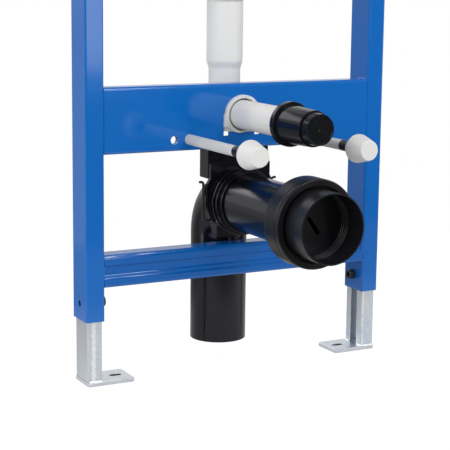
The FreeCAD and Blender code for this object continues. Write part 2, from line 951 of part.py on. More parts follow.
def make_flush_pipe():
    low = flush_height + d.flush_bell_rise
    neck_top = low + d.flush_neck
    bell_low = neck_top + d.flush_taper
    bell_top = tank_low - d.outlet_length
    bell = flush_radius + d.flush_bell_step
    bell_inner = bell - d.flush_wall
    nut = bell + d.outlet_step
    pipe = upright(
        "flush_pipe",
        [
            (flush_inner, low),
            (flush_radius, low),
            (flush_radius, neck_top),
            (bell, bell_low),
            (bell, bell_top),
            (bell_inner, bell_top),
            (bell_inner, bell_low + d.flush_wall),
            (flush_inner, neck_top),
        ],
        0, d.flush_back, 0,
    )
    fillet(pipe, d.flush_taper_round, level_rings(neck_top, flush_radius))
    fillet(pipe, d.flush_taper_round, level_rings(bell_low, bell))
    upright(
        "flush_union_nut",
        [
            (bell_inner, bell_top),
            (bell + d.outlet_step / 2, bell_top),
            (nut, bell_top + d.outlet_collar),
            (nut, tank_low),
            (bell_inner, tank_low),
        ],
        0, d.flush_back, 0,
    )


make_flush_bend()
make_flush_pipe()
turned(
    "flush_spigot",
    [
        (-d.flush_insert, d.flush_front_radius - d.flush_wall),
        (-d.flush_insert, d.flush_front_radius),
        (d.flush_front_end, d.flush_front_radius),
        (d.flush_front_end, d.flush_front_radius - d.flush_wall),
    ],
    0, 0, flush_height,
)


# Holder of the flush pipe: a ring with a flat foot, and a plug that clips into the crossbar

def make_flush_holder():
    body = new_body("flush_holder")
    ring = flush_radius + d.holder_wall
    plug = flush_radius + d.holder_plug_margin
    bottom = -d.holder_drop
    pad(body, draw(body, "XZ_Plane", circle(0, 0, ring)), d.holder_front)
    flat = rectangle(-ring, -ring - d.holder_wall, ring, bottom)
    pocket(body, draw(body, "XZ_Plane", flat, offset=d.holder_front), d.holder_front)
    fillet(body, d.holder_round, ring_edges(d.holder_front, ring))
    wing = d.holder_wing_reach
    wings = rectangle(-wing, -d.holder_wing_low, wing, d.holder_wing_high)
    pad(body, draw(body, "XZ_Plane", wings), d.holder_foot)
    depth = d.holder_plug_depth
    pad(body, draw(body, "XZ_Plane", circle(0, 0, plug), offset=-depth), depth)
    foot = rectangle(-plug, d.cutout_gap - d.cutout_drop, plug, 0)
    pad(body, draw(body, "XZ_Plane", foot, offset=-depth), depth)
    claw_reach = d.cutout_half_width + d.claw_hook
    claw_high = d.claw_height - d.holder_wing_low
    claws = rectangle(-claw_reach, -d.holder_wing_low, claw_reach, claw_high)
    grip = d.claw_depth - d.crossbar_wall - d.seat_gap
    pad(body, draw(body, "XZ_Plane", claws, offset=-d.claw_depth), grip)
    bore = circle(0, 0, flush_radius + d.holder_gap)
    sketch = draw(body, "XZ_Plane", bore, offset=d.holder_front)
    pocket(body, sketch, d.holder_front + depth)
    seat(body, 0, 0, flush_height)


make_flush_holder()


# Black cap on the flush pipe: a flanged sleeve with a grooved nose and a dished end

def make_flush_cap():
    bore = d.flush_front_radius + d.holder_gap
    lip = d.flush_front_radius + d.cap_lip_step
    barrel = d.flush_front_radius + d.cap_step
    barrel_end = barrel - d.cap_taper
    nose = d.flush_front_radius + d.cap_nose_step
    groove_end = d.cap_groove + d.cap_groove_width
    face = d.cap_end - d.cap_dish
    inside = nose - d.cap_groove_depth - d.cap_wall
    ring = d.cap_ring_radius
    ring_inner = ring - d.cap_ring_width
    body = turned(
        "flush_cap",
        [
            (d.cap_start, bore),
            (d.cap_start, lip),
            (d.cap_start + d.cap_lip_width, lip),
            (d.cap_start + d.cap_lip_width, barrel),
            (d.cap_groove, barrel_end),
            (d.cap_groove, nose - d.cap_groove_depth),
            (groove_end, nose - d.cap_groove_depth),
            (groove_end, nose),
            (d.cap_end, nose - d.cap_nose_round),
            (d.cap_end, nose - d.cap_wall),
            (face, nose - d.cap_wall - d.cap_dish),
            (face, ring),
            (face + d.cap_dish / 2, ring),
            (face + d.cap_dish / 2, ring_inner),
            (face, ring_inner),
            (face, d.cap_dimple),
            (face - d.cap_dish, 0),
            (d.cap_end - d.cap_wall * 2, 0),
            (d.cap_end - d.cap_wall * 2, inside),
            (d.cap_groove - d.cap_wall, inside),
            (d.cap_groove - d.cap_wall, bore),
        ],
        0, 0, flush_height,
    )
    fillet(body, d.cap_lip_round, ring_edges(d.cap_start, lip))
    fillet(body, d.cap_lip_round, ring_edges(d.cap_start + d.cap_lip_width, lip))
    fillet(body, d.cap_nose_round, ring_edges(d.cap_groove, barrel_end))


make_flush_cap()


# Waste bend, drawn about the axis of its level run

def waste_path(body, low, front):
    """The middle line of the bend, from a height below its level run to a distance in front."""
    points = [(waste_back, -as_size(low)), (waste_back, 0), (-as_size(front), 0)]
    return draw_path(body, "YZ_Plane", points, [d.waste_bend])


def make_waste_bend():
    body = new_body("waste_bend")
    path = waste_path(body, d.waste_fall, d.waste_front)
    rings = [circle(0, waste_back, d.waste_radius - wall) for wall in (0, d.waste_wall)]
    sweep(body, "AdditivePipe", draw(body, "XY_Plane", *rings, offset=-d.waste_fall), path)
    seat(body, 0, 0, waste_height)


make_waste_bend()


# Bend holder: moulded plate with side flanges, hooked over the lip of the crossbar

def make_bend_holder():
    body = new_body("bend_holder")
    half, wall = bracket_half_width, d.bracket_wall
    front, back = bracket_front, bracket_front + d.bracket_depth
    low = d.bracket_rise
    lip = crossbar_low - waste_height
    top = lip + d.bracket_top
    outline = polygon(
        (-half, front),
        (half, front),
        (half, back),
        (half - wall, back),
        (half - wall, front + wall),
        (wall - half, front + wall),
        (wall - half, back),
        (-half, back),
    )
    pad(body, draw(body, "XY_Plane", outline, offset=low), top - low)
    fillet(body, d.bracket_corner, edges_along("z", x=[half], y=[front]))
    for height in (lip - d.seat_gap - d.hook_wall, lip + d.crossbar_wall + d.seat_gap):
        tongue = rectangle(-d.hook_half_width, front - d.hook_reach, d.hook_half_width, front + wall)
        pad(body, draw(body, "XY_Plane", tongue, offset=height), d.hook_wall)
    bore = circle(0, 0, pipe_bore)
    pocket(body, draw(body, "XZ_Plane", bore, offset=-front), d.bracket_depth)
    seat(body, 0, 0, waste_height)


make_bend_holder()


# Clamp: an arched plate with ears and slotted cheeks, a ridged ring round the pipe and a skirt
# under the bend

def arc_points(radius, sign):
    """Points along the slot of a cheek, at a radius about the pipe."""
    return [(radius * sign * math.cos(turn), radius * math.sin(turn)) for turn in CHEEK_SLOT_TURNS]


def make_bend_clamp():
    body = new_body("bend_clamp")
    back = d.crossbar_lip
    neck, ear = d.waste_radius + d.clamp_neck, d.waste_radius + d.clamp_ear
    ear_low = d.clamp_ear_rise - d.clamp_ear_height
    ring = d.waste_radius + d.ring_wall
    arch = d.clamp_arch_rise
    outline = polygon(
        (ear, ear_low),
        (ear, d.clamp_ear_rise),
        (neck, d.clamp_neck_rise),
        (neck, arch),
        (-neck, arch),
        (-neck, d.clamp_neck_rise),
        (-ear, d.clamp_ear_rise),
        (-ear, ear_low),
    )
    pad(body, draw(body, "XZ_Plane", outline, offset=-back), d.clamp_thickness)
    radius = d.clamp_arch_radius
    centre = arch - radius
    frame = rectangle(-radius * 2, centre - radius * 2, radius * 2, centre + radius * 2)
    trim = draw(body, "XZ_Plane", frame, circle(0, centre, radius), offset=d.clamp_thickness - back)
    pocket(body, trim, d.clamp_thickness)
    fillet(body, d.clamp_corner, edges_along("y", x=[ear]))
    cheek = d.waste_radius + d.cheek_wall
    pad(body, draw(body, "XZ_Plane", circle(0, 0, cheek), offset=-back), d.clamp_thickness)
    below = rectangle(-cheek * 2, -cheek * 2, cheek * 2, -d.cheek_drop)
    pocket(body, draw(body, "XZ_Plane", below, offset=d.clamp_thickness - back), d.clamp_thickness)
    ridge, rim = d.waste_radius + d.ridge_wall, d.waste_radius + d.rim_wall
    groove = d.waste_radius + d.ring_groove
    ridge_back = d.ring_front + d.ring_chamfer + d.ring_groove_width
    profile = polygon(
        (back, d.waste_radius),
        (back, ring),
        (-d.ring_front, ring),
        (-d.ring_front - d.ring_chamfer, ring - d.ring_chamfer),
        (-d.ring_front - d.ring_chamfer, groove),
        (-ridge_back, groove),
        (-ridge_back, ridge - d.ring_chamfer / 2),
        (-ridge_back - d.ring_chamfer / 2, ridge),
        (-d.ridge_front + d.ring_chamfer / 2, ridge),
        (-d.ridge_front, ridge - d.ring_chamfer / 2),
        (-d.ridge_front, rim),
        (-d.rim_front + d.ring_chamfer / 2, rim),
        (-d.rim_front, rim - d.ring_chamfer / 2),
        (-d.rim_front, d.waste_radius),
    )
    revolve(body, draw(body, "YZ_Plane", profile), "H_Axis")
    slot_inner, slot_outer = d.waste_radius + d.cheek_slot_inner, d.waste_radius + d.cheek_slot_outer
    for _, sign in SIDES:
        slit = polygon(*arc_points(slot_outer, sign), *reversed(arc_points(slot_inner, sign)))
        pocket(body, draw(body, "XZ_Plane", slit, offset=d.clamp_thickness - back), d.clamp_thickness)
    low = rail_high + d.skirt_gap - waste_height
    skirt_back = back + d.skirt_depth
    outer = rectangle(-d.skirt_half_width, low, d.skirt_half_width, -d.skirt_rise)
    pad(body, draw(body, "XZ_Plane", outer, offset=-skirt_back), d.skirt_depth)
    fillet(body, d.skirt_round, edges_along("x", y=[skirt_back], z=[low]))
    bore = circle(0, waste_back, pipe_bore)
    section = draw(body, "XY_Plane", bore, offset=-d.waste_fall)
    path = waste_path(body, d.waste_fall, d.waste_front)
    cut_volume(body, lambda: sweep(body, "SubtractivePipe", section, path))
    seat(body, 0, 0, waste_height)


make_bend_clamp()


# Wire clips that hold the clamp to its holder

def make_bend_clip(side, sign):
    body = new_body(f"bend_clip_{side}")
    out = (bracket_half_width + d.clip_reach) * sign
    start = out + d.clip_tip * sign
    depth = d.crossbar_lip + d.clip_radius
    points = [
        (start, d.clip_top_rise),
        (out, d.clip_top_rise),
        (out, -d.clip_drop),
        (out - d.clip_return * sign, -d.clip_drop),
    ]
    bends = [d.clip_top_bend, d.clip_low_bend]
    path = draw_path(body, "XZ_Plane", points, bends, offset=-depth)
    section = draw(body, "YZ_Plane", circle(depth, d.clip_top_rise, d.clip_radius), offset=start)
    sweep(body, "AdditivePipe", section, path)
    seat(body, 0, 0, waste_height)


for side, sign in SIDES:
    make_bend_clip(side, sign)


# Connector for the bowl: a sealing collar, and the thin cup that closes it

def make_sealing_collar():
    mouth = cup_radius + d.collar_mouth_step
    outer = mouth + d.collar_wall
    seat_radius = cup_radius + d.cup_gap
    lip_end = d.collar_start + d.collar_lip_width
    groove = d.collar_groove_depth
    stop = d.waste_front + d.pipe_gap
    body = turned(
        "sealing_collar",
        [
            (d.collar_start, pipe_bore),
            (d.collar_start, outer - d.collar_lip_drop),
            (lip_end, outer - d.collar_lip_drop),
            (lip_end, outer),
            (d.collar_groove, outer),
            (d.collar_groove + groove, outer - groove),
            (d.collar_groove + groove * 2, outer),
            (d.collar_end, outer),
            (d.collar_end, mouth),
            (d.collar_end - d.collar_mouth_depth, mouth),
            (d.collar_end - d.collar_mouth_depth, seat_radius),
            (stop, seat_radius),
            (stop, pipe_bore),
        ],
        0, 0, waste_height,
    )
    fillet(body, d.collar_shoulder_round, ring_edges(lip_end, outer))
    fillet(body, d.collar_front_round, ring_edges(d.collar_end, outer))


def make_protective_cup():
    inner = cup_radius - d.cup_wall
    floor = d.cup_floor + d.cup_wall
    rib_radius = inner - d.cup_rib_height
    ribs = []
    for number in range(CUP_RIBS, 0, -1):
        start = floor + number * d.cup_rib_pitch
        ribs += [
            (start + d.cup_rib_width, inner),
            (start + d.cup_rib_width / 2, rib_radius),
            (start, inner),
        ]
    body = turned(
        "protective_cup",
        [
            (d.cup_floor, 0),
            (d.cup_floor, cup_radius),
            (d.cup_end, cup_radius),
            (d.cup_end, inner),
            *ribs,
            (floor, inner),
            (floor, 0),
        ],
        0, 0, waste_height,
    )
    pull = turned_rectangle(
        d.cup_slot_side, -d.cup_slot_drop, d.cup_slot_length, d.cup_slot_width, CUP_SLOT_TURN
    )
    pocket(body, draw(body, "XZ_Plane", pull, offset=floor), d.cup_wall)


make_sealing_collar()
make_protective_cup()


# Cistern: a hollow moulded shell with holes for its outlet, its inlet and the access shaft

def make_cistern():
    body = new_body("cistern")
    half, wall = d.tank_width / 2, d.tank_wall
    tank_back = d.tank_front + d.tank_depth
    outline = rectangle(-half, d.tank_front, half, tank_back)
    pad(body, draw(body, "XY_Plane", outline, offset=tank_low), tank_high - tank_low)
    hollow = rectangle(wall - half, d.tank_front + wall, half - wall, tank_back - wall)
    hollow_height = tank_high - tank_low - wall * 2
    pocket(body, draw(body, "XY_Plane", hollow, offset=tank_high - wall), hollow_height)

    def inside(middle):
        return (
            abs(middle.x) < half.value - TOUCHING
            and d.tank_front.value + TOUCHING < middle.y < tank_back.value - TOUCHING
            and tank_low.value + TOUCHING < middle.z < tank_high.value - TOUCHING
        )

    fillet(body, d.tank_corner - wall, lambda middle, along, edge: inside(middle))
    fillet(body, d.tank_corner, lambda middle, along, edge: not inside(middle))
    inset = d.access_wall
    half_access = d.access_width / 2 - inset
    access = rectangle(-half_access, access_low + inset, half_access, access_high - inset)
    pocket(body, draw(body, "XZ_Plane", access, offset=-d.tank_front), wall)
    outlet = circle(0, d.flush_back, flush_inner)
    pocket(body, draw(body, "XY_Plane", outlet, offset=tank_low + wall), wall)
    inlet = circle(-d.tank_width / 4, d.tank_front + d.tank_depth / 2, d.inlet_bore)
    pocket(body, draw(body, "XY_Plane", inlet, offset=tank_high), wall)
    seat(body)


def make_access_shaft():
    body = new_body("access_shaft")
    half, wall = d.access_width / 2, d.access_wall
    outer = rectangle(-half, access_low, half, access_high)
    pad(body, draw(body, "XZ_Plane", outer, offset=-d.tank_front), d.tank_front + d.access_front)
    fillet(body, d.access_corner, edges_along("y"))
    inner = rectangle(wall - half, access_low + wall, half - wall, access_high - wall)
    sketch = draw(body, "XZ_Plane", inner, offset=d.access_front)
    pocket(body, sketch, d.tank_front + d.access_front)
    seat(body)
    cover = new_body("access_cover")
    pad(cover, draw(cover, "XZ_Plane", outer, offset=d.access_front), wall)
    fillet(cover, d.access_corner, edges_along("y"))
    seat(cover)


def make_tank_bracket(side, sign):
    body = new_body(f"tank_bracket_{side}")
    wall = d.tank_bracket_wall
    tank_side, post_side = d.tank_width / 2, post_inside
    front = d.tank_bracket_setback
    bend = d.tank_front + d.tank_corner
    back = bend + wall + d.tank_bracket_reach
    outline = (
        (post_side, front),
        (post_side, bend + wall),
        (tank_side + wall, bend + wall),
        (tank_side + wall, back),
        (tank_side, back),
        (tank_side, bend),
        (post_side - wall, bend),
        (post_side - wall, front),
    )
    profile = polygon(*[(x * sign, y) for x, y in outline])
    low = tank_high - d.tank_bracket_drop - d.tank_bracket_height
    pad(body, draw(body, "XY_Plane", profile, offset=low), d.tank_bracket_height)
    seat(body)


make_cistern()
make_access_shaft()
for side, sign in SIDES:
    make_tank_bracket(side, sign)
upright(
    "water_inlet",
    [
        (d.inlet_bore, 0),
        (d.inlet_flange_radius, 0),
        (d.inlet_flange_radius, d.inlet_flange_height),
        (d.inlet_radius, d.inlet_flange_height),
        (d.inlet_radius, d.inlet_length),
        (d.inlet_bore, d.inlet_length),
    ],
    -d.tank_width / 4, d.tank_front + d.tank_depth / 2, tank_high,
)


# Wall fixings: a plate at the wall behind each post, and the bolt that holds it there

def make_wall_fixing(side, sign):
    x = post_middle * sign
    plate = new_body(f"wall_plate_{side}")
    half, tall = d.wall_plate_width / 2, d.wall_plate_height / 2
    screw_hole = circle(0, d.wall_hole_rise, d.wall_hole / 2)
    thread = circle(0, -d.bolt_drop, d.bolt_radius + d.thread_gap)
    outline = rectangle(-half, -tall, half, tall)
    pad(plate, draw(plate, "XZ_Plane", outline, screw_hole, thread), d.wall_plate_thickness)
    fillet(plate, d.wall_plate_corner, edges_along("y", x=[half]))
    seat(plate, x, wall_face, wall_plate_middle)
    bolt = turned(
        f"wall_bolt_{side}",
        [
            (d.bolt_recess - wall_face, 0),
            (d.bolt_recess - wall_face, d.bolt_radius),
            (0, d.bolt_radius),
            (0, 0),
        ],
        x, 0, bolt_height,
    )
    pad(bolt, draw(bolt, "XZ_Plane", hexagon(0, 0, d.bolt_head_across)), d.bolt_head_height)


for side, sign in SIDES:
    make_wall_fixing(side, sign)

# Check and write the sub-parts
doc.recompute()
for item in doc.Objects:
    if "Invalid" in item.State or "Error" in item.State:
        raise ValueError(f"{item.Label} is {item.State}")
for body in sub_parts:
    if body.Shape.isNull() or not body.Shape.isValid():
        raise ValueError(f"{body.Label} has no valid shape")
for body in sub_parts:
    body.Shape.exportStep(f"parts/{body.Label}.step")
    print(body.Label, round(body.Shape.Volume), len(body.Shape.Solids))
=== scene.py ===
import math
import bpy
from mathutils import Matrix, Vector


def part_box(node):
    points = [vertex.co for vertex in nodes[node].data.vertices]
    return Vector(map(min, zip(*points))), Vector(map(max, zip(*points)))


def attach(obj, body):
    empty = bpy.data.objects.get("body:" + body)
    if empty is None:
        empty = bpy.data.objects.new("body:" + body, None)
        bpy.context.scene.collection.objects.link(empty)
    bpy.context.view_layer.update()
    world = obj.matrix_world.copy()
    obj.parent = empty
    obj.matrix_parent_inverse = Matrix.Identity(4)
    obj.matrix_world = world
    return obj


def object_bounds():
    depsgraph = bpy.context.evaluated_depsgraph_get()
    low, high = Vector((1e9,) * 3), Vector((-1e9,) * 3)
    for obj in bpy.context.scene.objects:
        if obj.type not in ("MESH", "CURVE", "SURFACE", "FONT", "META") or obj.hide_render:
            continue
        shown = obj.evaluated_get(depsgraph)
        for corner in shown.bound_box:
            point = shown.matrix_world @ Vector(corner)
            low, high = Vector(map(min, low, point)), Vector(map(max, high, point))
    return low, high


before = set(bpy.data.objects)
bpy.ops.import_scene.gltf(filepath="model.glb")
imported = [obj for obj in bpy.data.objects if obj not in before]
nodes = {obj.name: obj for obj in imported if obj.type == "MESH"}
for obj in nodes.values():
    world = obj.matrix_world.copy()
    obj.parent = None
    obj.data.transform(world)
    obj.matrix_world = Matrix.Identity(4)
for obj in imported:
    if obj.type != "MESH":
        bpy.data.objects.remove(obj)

cad_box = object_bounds()
MM = 0.001


# Posts, crossbar and top rail: steel tube and pressed channel, powder coated after welding.
# The coat is baked polyester: glossy, so the studio shows in it, with the faint orange peel of
# sprayed powder that keeps those reflections a little soft.
def linear(code):
    """Turns an sRGB hex colour into the linear one that shaders take."""
    shares = [int(code[place:place + 2], 16) / 255 for place in (1, 3, 5)]
    return tuple(s / 12.92 if s <= 0.04045 else ((s + 0.055) / 1.055) ** 2.4 for s in shares) + (1.0,)


def add_node(material, kind, inputs=(), **settings):
    """Adds one node with its settings and links."""
    node = material.node_tree.nodes.new(kind)
    for name, value in settings.items():
        setattr(node, name, value)
    for name, value in dict(inputs).items():
        if isinstance(value, bpy.types.NodeSocket):
            material.node_tree.links.new(value, node.inputs[name])
        else:
            node.inputs[name].default_value = value
    return node


def new_material(name, colour, roughness, **sockets):
    """Starts a material with its plain values on the shader's own sockets."""
    material = bpy.data.materials.new(name)
    material.use_nodes = True
    shader = material.node_tree.nodes["Principled BSDF"]
    shader.inputs["Base Color"].default_value = linear(colour)
    shader.inputs["Roughness"].default_value = roughness
    for socket, value in sockets.items():
        shader.inputs[socket.replace("_", " ")].default_value = value
    return material, shader


def link(material, output, shader, socket):
    """Feeds a socket of the shader."""
    material.node_tree.links.new(output, shader.inputs[socket])


def finish_nodes(material, *names):
    """Gives the named pieces of the frame their material."""
    for name in names:
        for material_slot in nodes[name].material_slots:
            material_slot.material = material


ORANGE_PEEL = 2.2 * MM
COAT_SHADE = 6 * MM
SKIN_DEPTH = 0.1 * MM

powder_coat, shader = new_material("powder_coated_steel", "#0C63B5", 0.1)
place = add_node(powder_coat, "ShaderNodeTexCoord")
peel = add_node(powder_coat, "ShaderNodeTexNoise", {
    "Vector": place.outputs["Object"], "Scale": 1 / ORANGE_PEEL, "Detail": 2.0,
})
shade = add_node(powder_coat, "ShaderNodeTexNoise", {
    "Vector": place.outputs["Object"], "Scale": 1 / COAT_SHADE, "Detail": 3.0,
})
tone = add_node(powder_coat, "ShaderNodeMix", {
    "Factor": shade.outputs["Fac"], 6: linear("#0A61B3"), 7: linear("#0E65B8"),
}, data_type="RGBA")
gloss = add_node(powder_coat, "ShaderNodeMapRange", {
    "Value": shade.outputs["Fac"], "From Min": 0.3, "From Max": 0.7, "To Min": 0.085, "To Max": 0.115,
})
bump = add_node(powder_coat, "ShaderNodeBump", {
    "Height": peel.outputs["Fac"], "Strength": 0.06, "Distance": SKIN_DEPTH,
})
link(powder_coat, tone.outputs[2], shader, "Base Color")
link(powder_coat, gloss.outputs["Result"], shader, "Roughness")
link(powder_coat, bump.outputs["Normal"], shader, "Normal")
finish_nodes(powder_coat, "crossbar", "top_rail")

# Posts: rectangular tube, coated outside. Inside the tube, past a thin rim at each hole and open end, its
# faces are painted near-black: painted shade, so its holes and open ends look black.
SHADE_INSET = 1.1 * MM
post_coat = powder_coat.copy()
post_coat.name = "powder_coated_steel_tube"
shader = post_coat.node_tree.nodes["Principled BSDF"]
coat_tone = shader.inputs["Base Color"].links[0].from_socket
place = add_node(post_coat, "ShaderNodeTexCoord")
axes = add_node(post_coat, "ShaderNodeSeparateXYZ", {"Vector": place.outputs["Object"]})
low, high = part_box("post_left")
frame_middle = (cad_box[0].x + cad_box[1].x) / 2
sideways = add_node(post_coat, "ShaderNodeMath", {
    0: axes.outputs["X"], 1: frame_middle,
}, operation="SUBTRACT")
sideways = add_node(post_coat, "ShaderNodeMath", {0: sideways.outputs[0]}, operation="ABSOLUTE")
# Painted shade: the tube's inner faces, past a thin rim, are painted near-black.
painted_shade_mask = 1.0
for along, middle, half in (
    (sideways.outputs[0], frame_middle - (low.x + high.x) / 2, (high.x - low.x) / 2),
    (axes.outputs["Y"], (low.y + high.y) / 2, (high.y - low.y) / 2),
    (axes.outputs["Z"], (low.z + high.z) / 2, (high.z - low.z) / 2),
):
    within = add_node(post_coat, "ShaderNodeMath", {
        0: along, 1: middle, 2: half - SHADE_INSET,
    }, operation="COMPARE")
    painted_shade_mask = add_node(post_coat, "ShaderNodeMath", {
        0: within.outputs[0], 1: painted_shade_mask,
    }, operation="MULTIPLY").outputs[0]
tone = add_node(post_coat, "ShaderNodeMix", {
    "Factor": painted_shade_mask, 6: coat_tone, 7: linear("#0B0C0E"),
}, data_type="RGBA")
link(post_coat, tone.outputs[2], shader, "Base Color")
finish_nodes(post_coat, "post_left", "post_right")

# Lower rail: roll-formed from the same strip and coated with it. The rolls leave soft swells
# along its length, and they draw the reflections out into streaks.
rail_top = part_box("lower_rail")[1].z
# Each swell has its distance below the top, half its width and its steepest slope. A smooth
# step is as high as that slope times 4/3 of half its width.
SWELLS = ((4.5 * MM, 2.5 * MM, 0.36), (31 * MM, 1.8 * MM, 0.5), (36.5 * MM, 2 * MM, 0.58))
STEP_PER_SLOPE = 4 / 3
rolled_coat = powder_coat.copy()
rolled_coat.name = "powder_coated_rolled_steel"
shader = rolled_coat.node_tree.nodes["Principled BSDF"]
orange_peel = shader.inputs["Normal"].links[0].from_socket
tone = shader.inputs["Base Color"].links[0].from_node
# The rail's two tones are a shade darker than the crossbar's coat: painted shade on the same coat.
tone.inputs[6].default_value = linear("#095AA8")
tone.inputs[7].default_value = linear("#0C5EAD")
place = add_node(rolled_coat, "ShaderNodeTexCoord")
level = add_node(rolled_coat, "ShaderNodeSeparateXYZ", {"Vector": place.outputs["Object"]}).outputs["Z"]
profile = 0.0
for drop, half_width, slope in SWELLS:
    lean = add_node(rolled_coat, "ShaderNodeMapRange", {
        "Value": level, "From Min": rail_top - drop - half_width, "From Max": rail_top - drop + half_width,
        "To Min": slope * half_width * STEP_PER_SLOPE, "To Max": 0.0,
    }, interpolation_type="SMOOTHSTEP")
    profile = add_node(rolled_coat, "ShaderNodeMath", {0: lean.outputs["Result"], 1: profile}).outputs[0]
swelling = add_node(rolled_coat, "ShaderNodeBump", {
    "Height": profile, "Strength": 1.0, "Distance": 1.0, "Normal": orange_peel,
})
link(rolled_coat, swelling.outputs["Normal"], shader, "Normal")
finish_nodes(rolled_coat, "lower_rail")


# Weld beads of the frame: MIG beads where the bars meet the posts, under the same coat.
# They run behind the webs and over the tops, so the front shows only the tight joint line.
BEAD_RADIUS = 2.2 * MM
BEAD_PITCH = 2.4 * MM
BEAD_VOXEL = 0.45 * MM


def deselect_all():
    """Clears the selection, so that the next step touches only its own piece."""
    bpy.ops.object.select_all(action="DESELECT")


def apply_modifiers(piece):
    """Applies every modifier of a piece, in order."""
    bpy.context.view_layer.objects.active = piece
    for modifier in list(piece.modifiers):
        bpy.ops.object.modifier_apply(modifier=modifier.name)


def settle(piece, name, material, body):
    """Names a finished piece, puts its place into its mesh and joins it to its body."""
    deselect_all()
    piece.select_set(True)
    bpy.context.view_layer.objects.active = piece
    bpy.ops.object.transform_apply(location=True, rotation=True, scale=True)
    piece.name = name
    piece.data.name = name
    piece.data.materials.clear()
    piece.data.materials.append(material)
    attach(piece, body)
    return piece


def weld_bead(start, end):
    """A bead between two points: overlapping drops of weld metal, fused into one skin."""
    start, end = Vector(start), Vector(end)
    run = end - start
    deselect_all()
    bpy.ops.mesh.primitive_uv_sphere_add(segments=16, ring_count=10, radius=BEAD_RADIUS, location=start)
    bead = bpy.context.object
    row = bead.modifiers.new("row", "ARRAY")
    row.use_relative_offset = False
    row.use_constant_offset = True
    row.count = max(2, round(run.length / BEAD_PITCH) + 1)
    row.constant_offset_displace = run / (row.count - 1)
    skin = bead.modifiers.new("skin", "REMESH")
    skin.mode = "VOXEL"
    skin.voxel_size = BEAD_VOXEL
    apply_modifiers(bead)
    bpy.ops.object.transform_apply(location=True, rotation=False, scale=False)
    bpy.ops.object.shade_smooth()
    return bead


def weld_seam(name, runs, material, body):
    """Several beads joined into one piece."""
    beads = [weld_bead(start, end) for start, end in runs]
    deselect_all()
    for bead in beads:
        bead.select_set(True)
    bpy.context.view_layer.objects.active = beads[0]
    bpy.ops.object.join()
    return settle(beads[0], name, material, body)


SHEET = 3 * MM
BEAD_INSET = 8 * MM
for bar in ("crossbar", "lower_rail", "top_rail"):
    low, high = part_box(bar)
    top = min(high.z, cad_box[1].z - 2 * BEAD_RADIUS)
    runs = []
    for x in (low.x, high.x):
        runs.append(((x, low.y + SHEET, low.z + BEAD_INSET), (x, low.y + SHEET, high.z - BEAD_INSET)))
        runs.append(((x, low.y + BEAD_INSET, top), (x, high.y, top)))
    weld_seam(bar + "_welds", runs, powder_coat, "frame")


# Studs, wall bolts, wall plates, brackets and nuts: steel, zinc plated and blue passivated. The plating is
# a pale cool grey with fine crystals and faint marks of rolling, and its edges are painted lighter: a
# painted highlight.
ZINC_CRYSTAL = 3.5 * MM
ZINC_CLOUD = 60 * MM
ROLLING_MARK = 1.1 * MM
ROLLING_DEPTH = 0.05 * MM
EDGE_ROUNDING = 1.3 * MM


def zinc_plating(name, lightest="#DADFE4", darkest="#D0D6DC"):
    """Starts a zinc plated surface and gives its place, its colour and its shader."""
    material, shader = new_material(name, lightest, 0.36, Metallic=1.0)
    place = add_node(material, "ShaderNodeTexCoord").outputs["Object"]
    crystal = add_node(material, "ShaderNodeTexVoronoi", {"Vector": place, "Scale": 1 / ZINC_CRYSTAL})
    cloud = add_node(material, "ShaderNodeTexNoise", {
        "Vector": place, "Scale": 1 / ZINC_CLOUD, "Detail": 4.0, "Distortion": 0.6,
    })
    grain = add_node(material, "ShaderNodeSeparateColor", {"Color": crystal.outputs["Color"]})
    grey = add_node(material, "ShaderNodeMix", {
        "Factor": grain.outputs["Red"], 6: linear(darkest), 7: linear(lightest),
    }, data_type="RGBA")
    cool = add_node(material, "ShaderNodeMapRange", {
        "Value": cloud.outputs["Fac"], "From Min": 0.48, "From Max": 0.36, "To Min": 0.0, "To Max": 0.2,
    })
    tint = add_node(material, "ShaderNodeMix", {
        "Factor": cool.outputs["Result"], 6: grey.outputs[2], 7: linear("#C3D1E0"),
    }, data_type="RGBA")
    gloss = add_node(material, "ShaderNodeMapRange", {
        "Value": grain.outputs["Green"], "To Min": 0.34, "To Max": 0.4,
    })
    stretch = add_node(material, "ShaderNodeMapping", {"Vector": place, "Scale": (1.0, 1.0, 0.04)})
    rolled = add_node(material, "ShaderNodeTexNoise", {
        "Vector": stretch.outputs["Vector"], "Scale": 1 / ROLLING_MARK, "Detail": 3.0,
    })
    edge = add_node(material, "ShaderNodeBevel", {"Radius": EDGE_ROUNDING}, samples=4)
    flat = add_node(material, "ShaderNodeNewGeometry")
    turn = add_node(material, "ShaderNodeVectorMath", {
        0: edge.outputs["Normal"], 1: flat.outputs["Normal"],
    }, operation="DOT_PRODUCT")
    # Painted highlight: where the rounded shading normal turns away from the face, the edge is painted near
    # white.
    edge_highlight = add_node(material, "ShaderNodeMapRange", {
        "Value": turn.outputs["Value"], "From Min": 0.995, "From Max": 0.88, "To Min": 0.0, "To Max": 0.75,
    })
    tint = add_node(material, "ShaderNodeMix", {
        "Factor": edge_highlight.outputs["Result"], 6: tint.outputs[2], 7: linear("#F7F9FA"),
    }, data_type="RGBA")
    bump = add_node(material, "ShaderNodeBump", {
        "Height": rolled.outputs["Fac"], "Strength": 0.2, "Distance": ROLLING_DEPTH,
        "Normal": edge.outputs["Normal"],
    })
    link(material, tint.outputs[2], shader, "Base Color")
    link(material, gloss.outputs["Result"], shader, "Roughness")
    link(material, bump.outputs["Normal"], shader, "Normal")
    return material, place, tint.outputs[2], shader


zinc = zinc_plating("zinc_plated_steel")[0]
for side in ("left", "right"):
    finish_nodes(zinc, "clamp_nut_" + side, "tank_bracket_" + side)
    finish_nodes(zinc, "wall_plate_" + side, "wall_bolt_" + side, "stud_" + side)
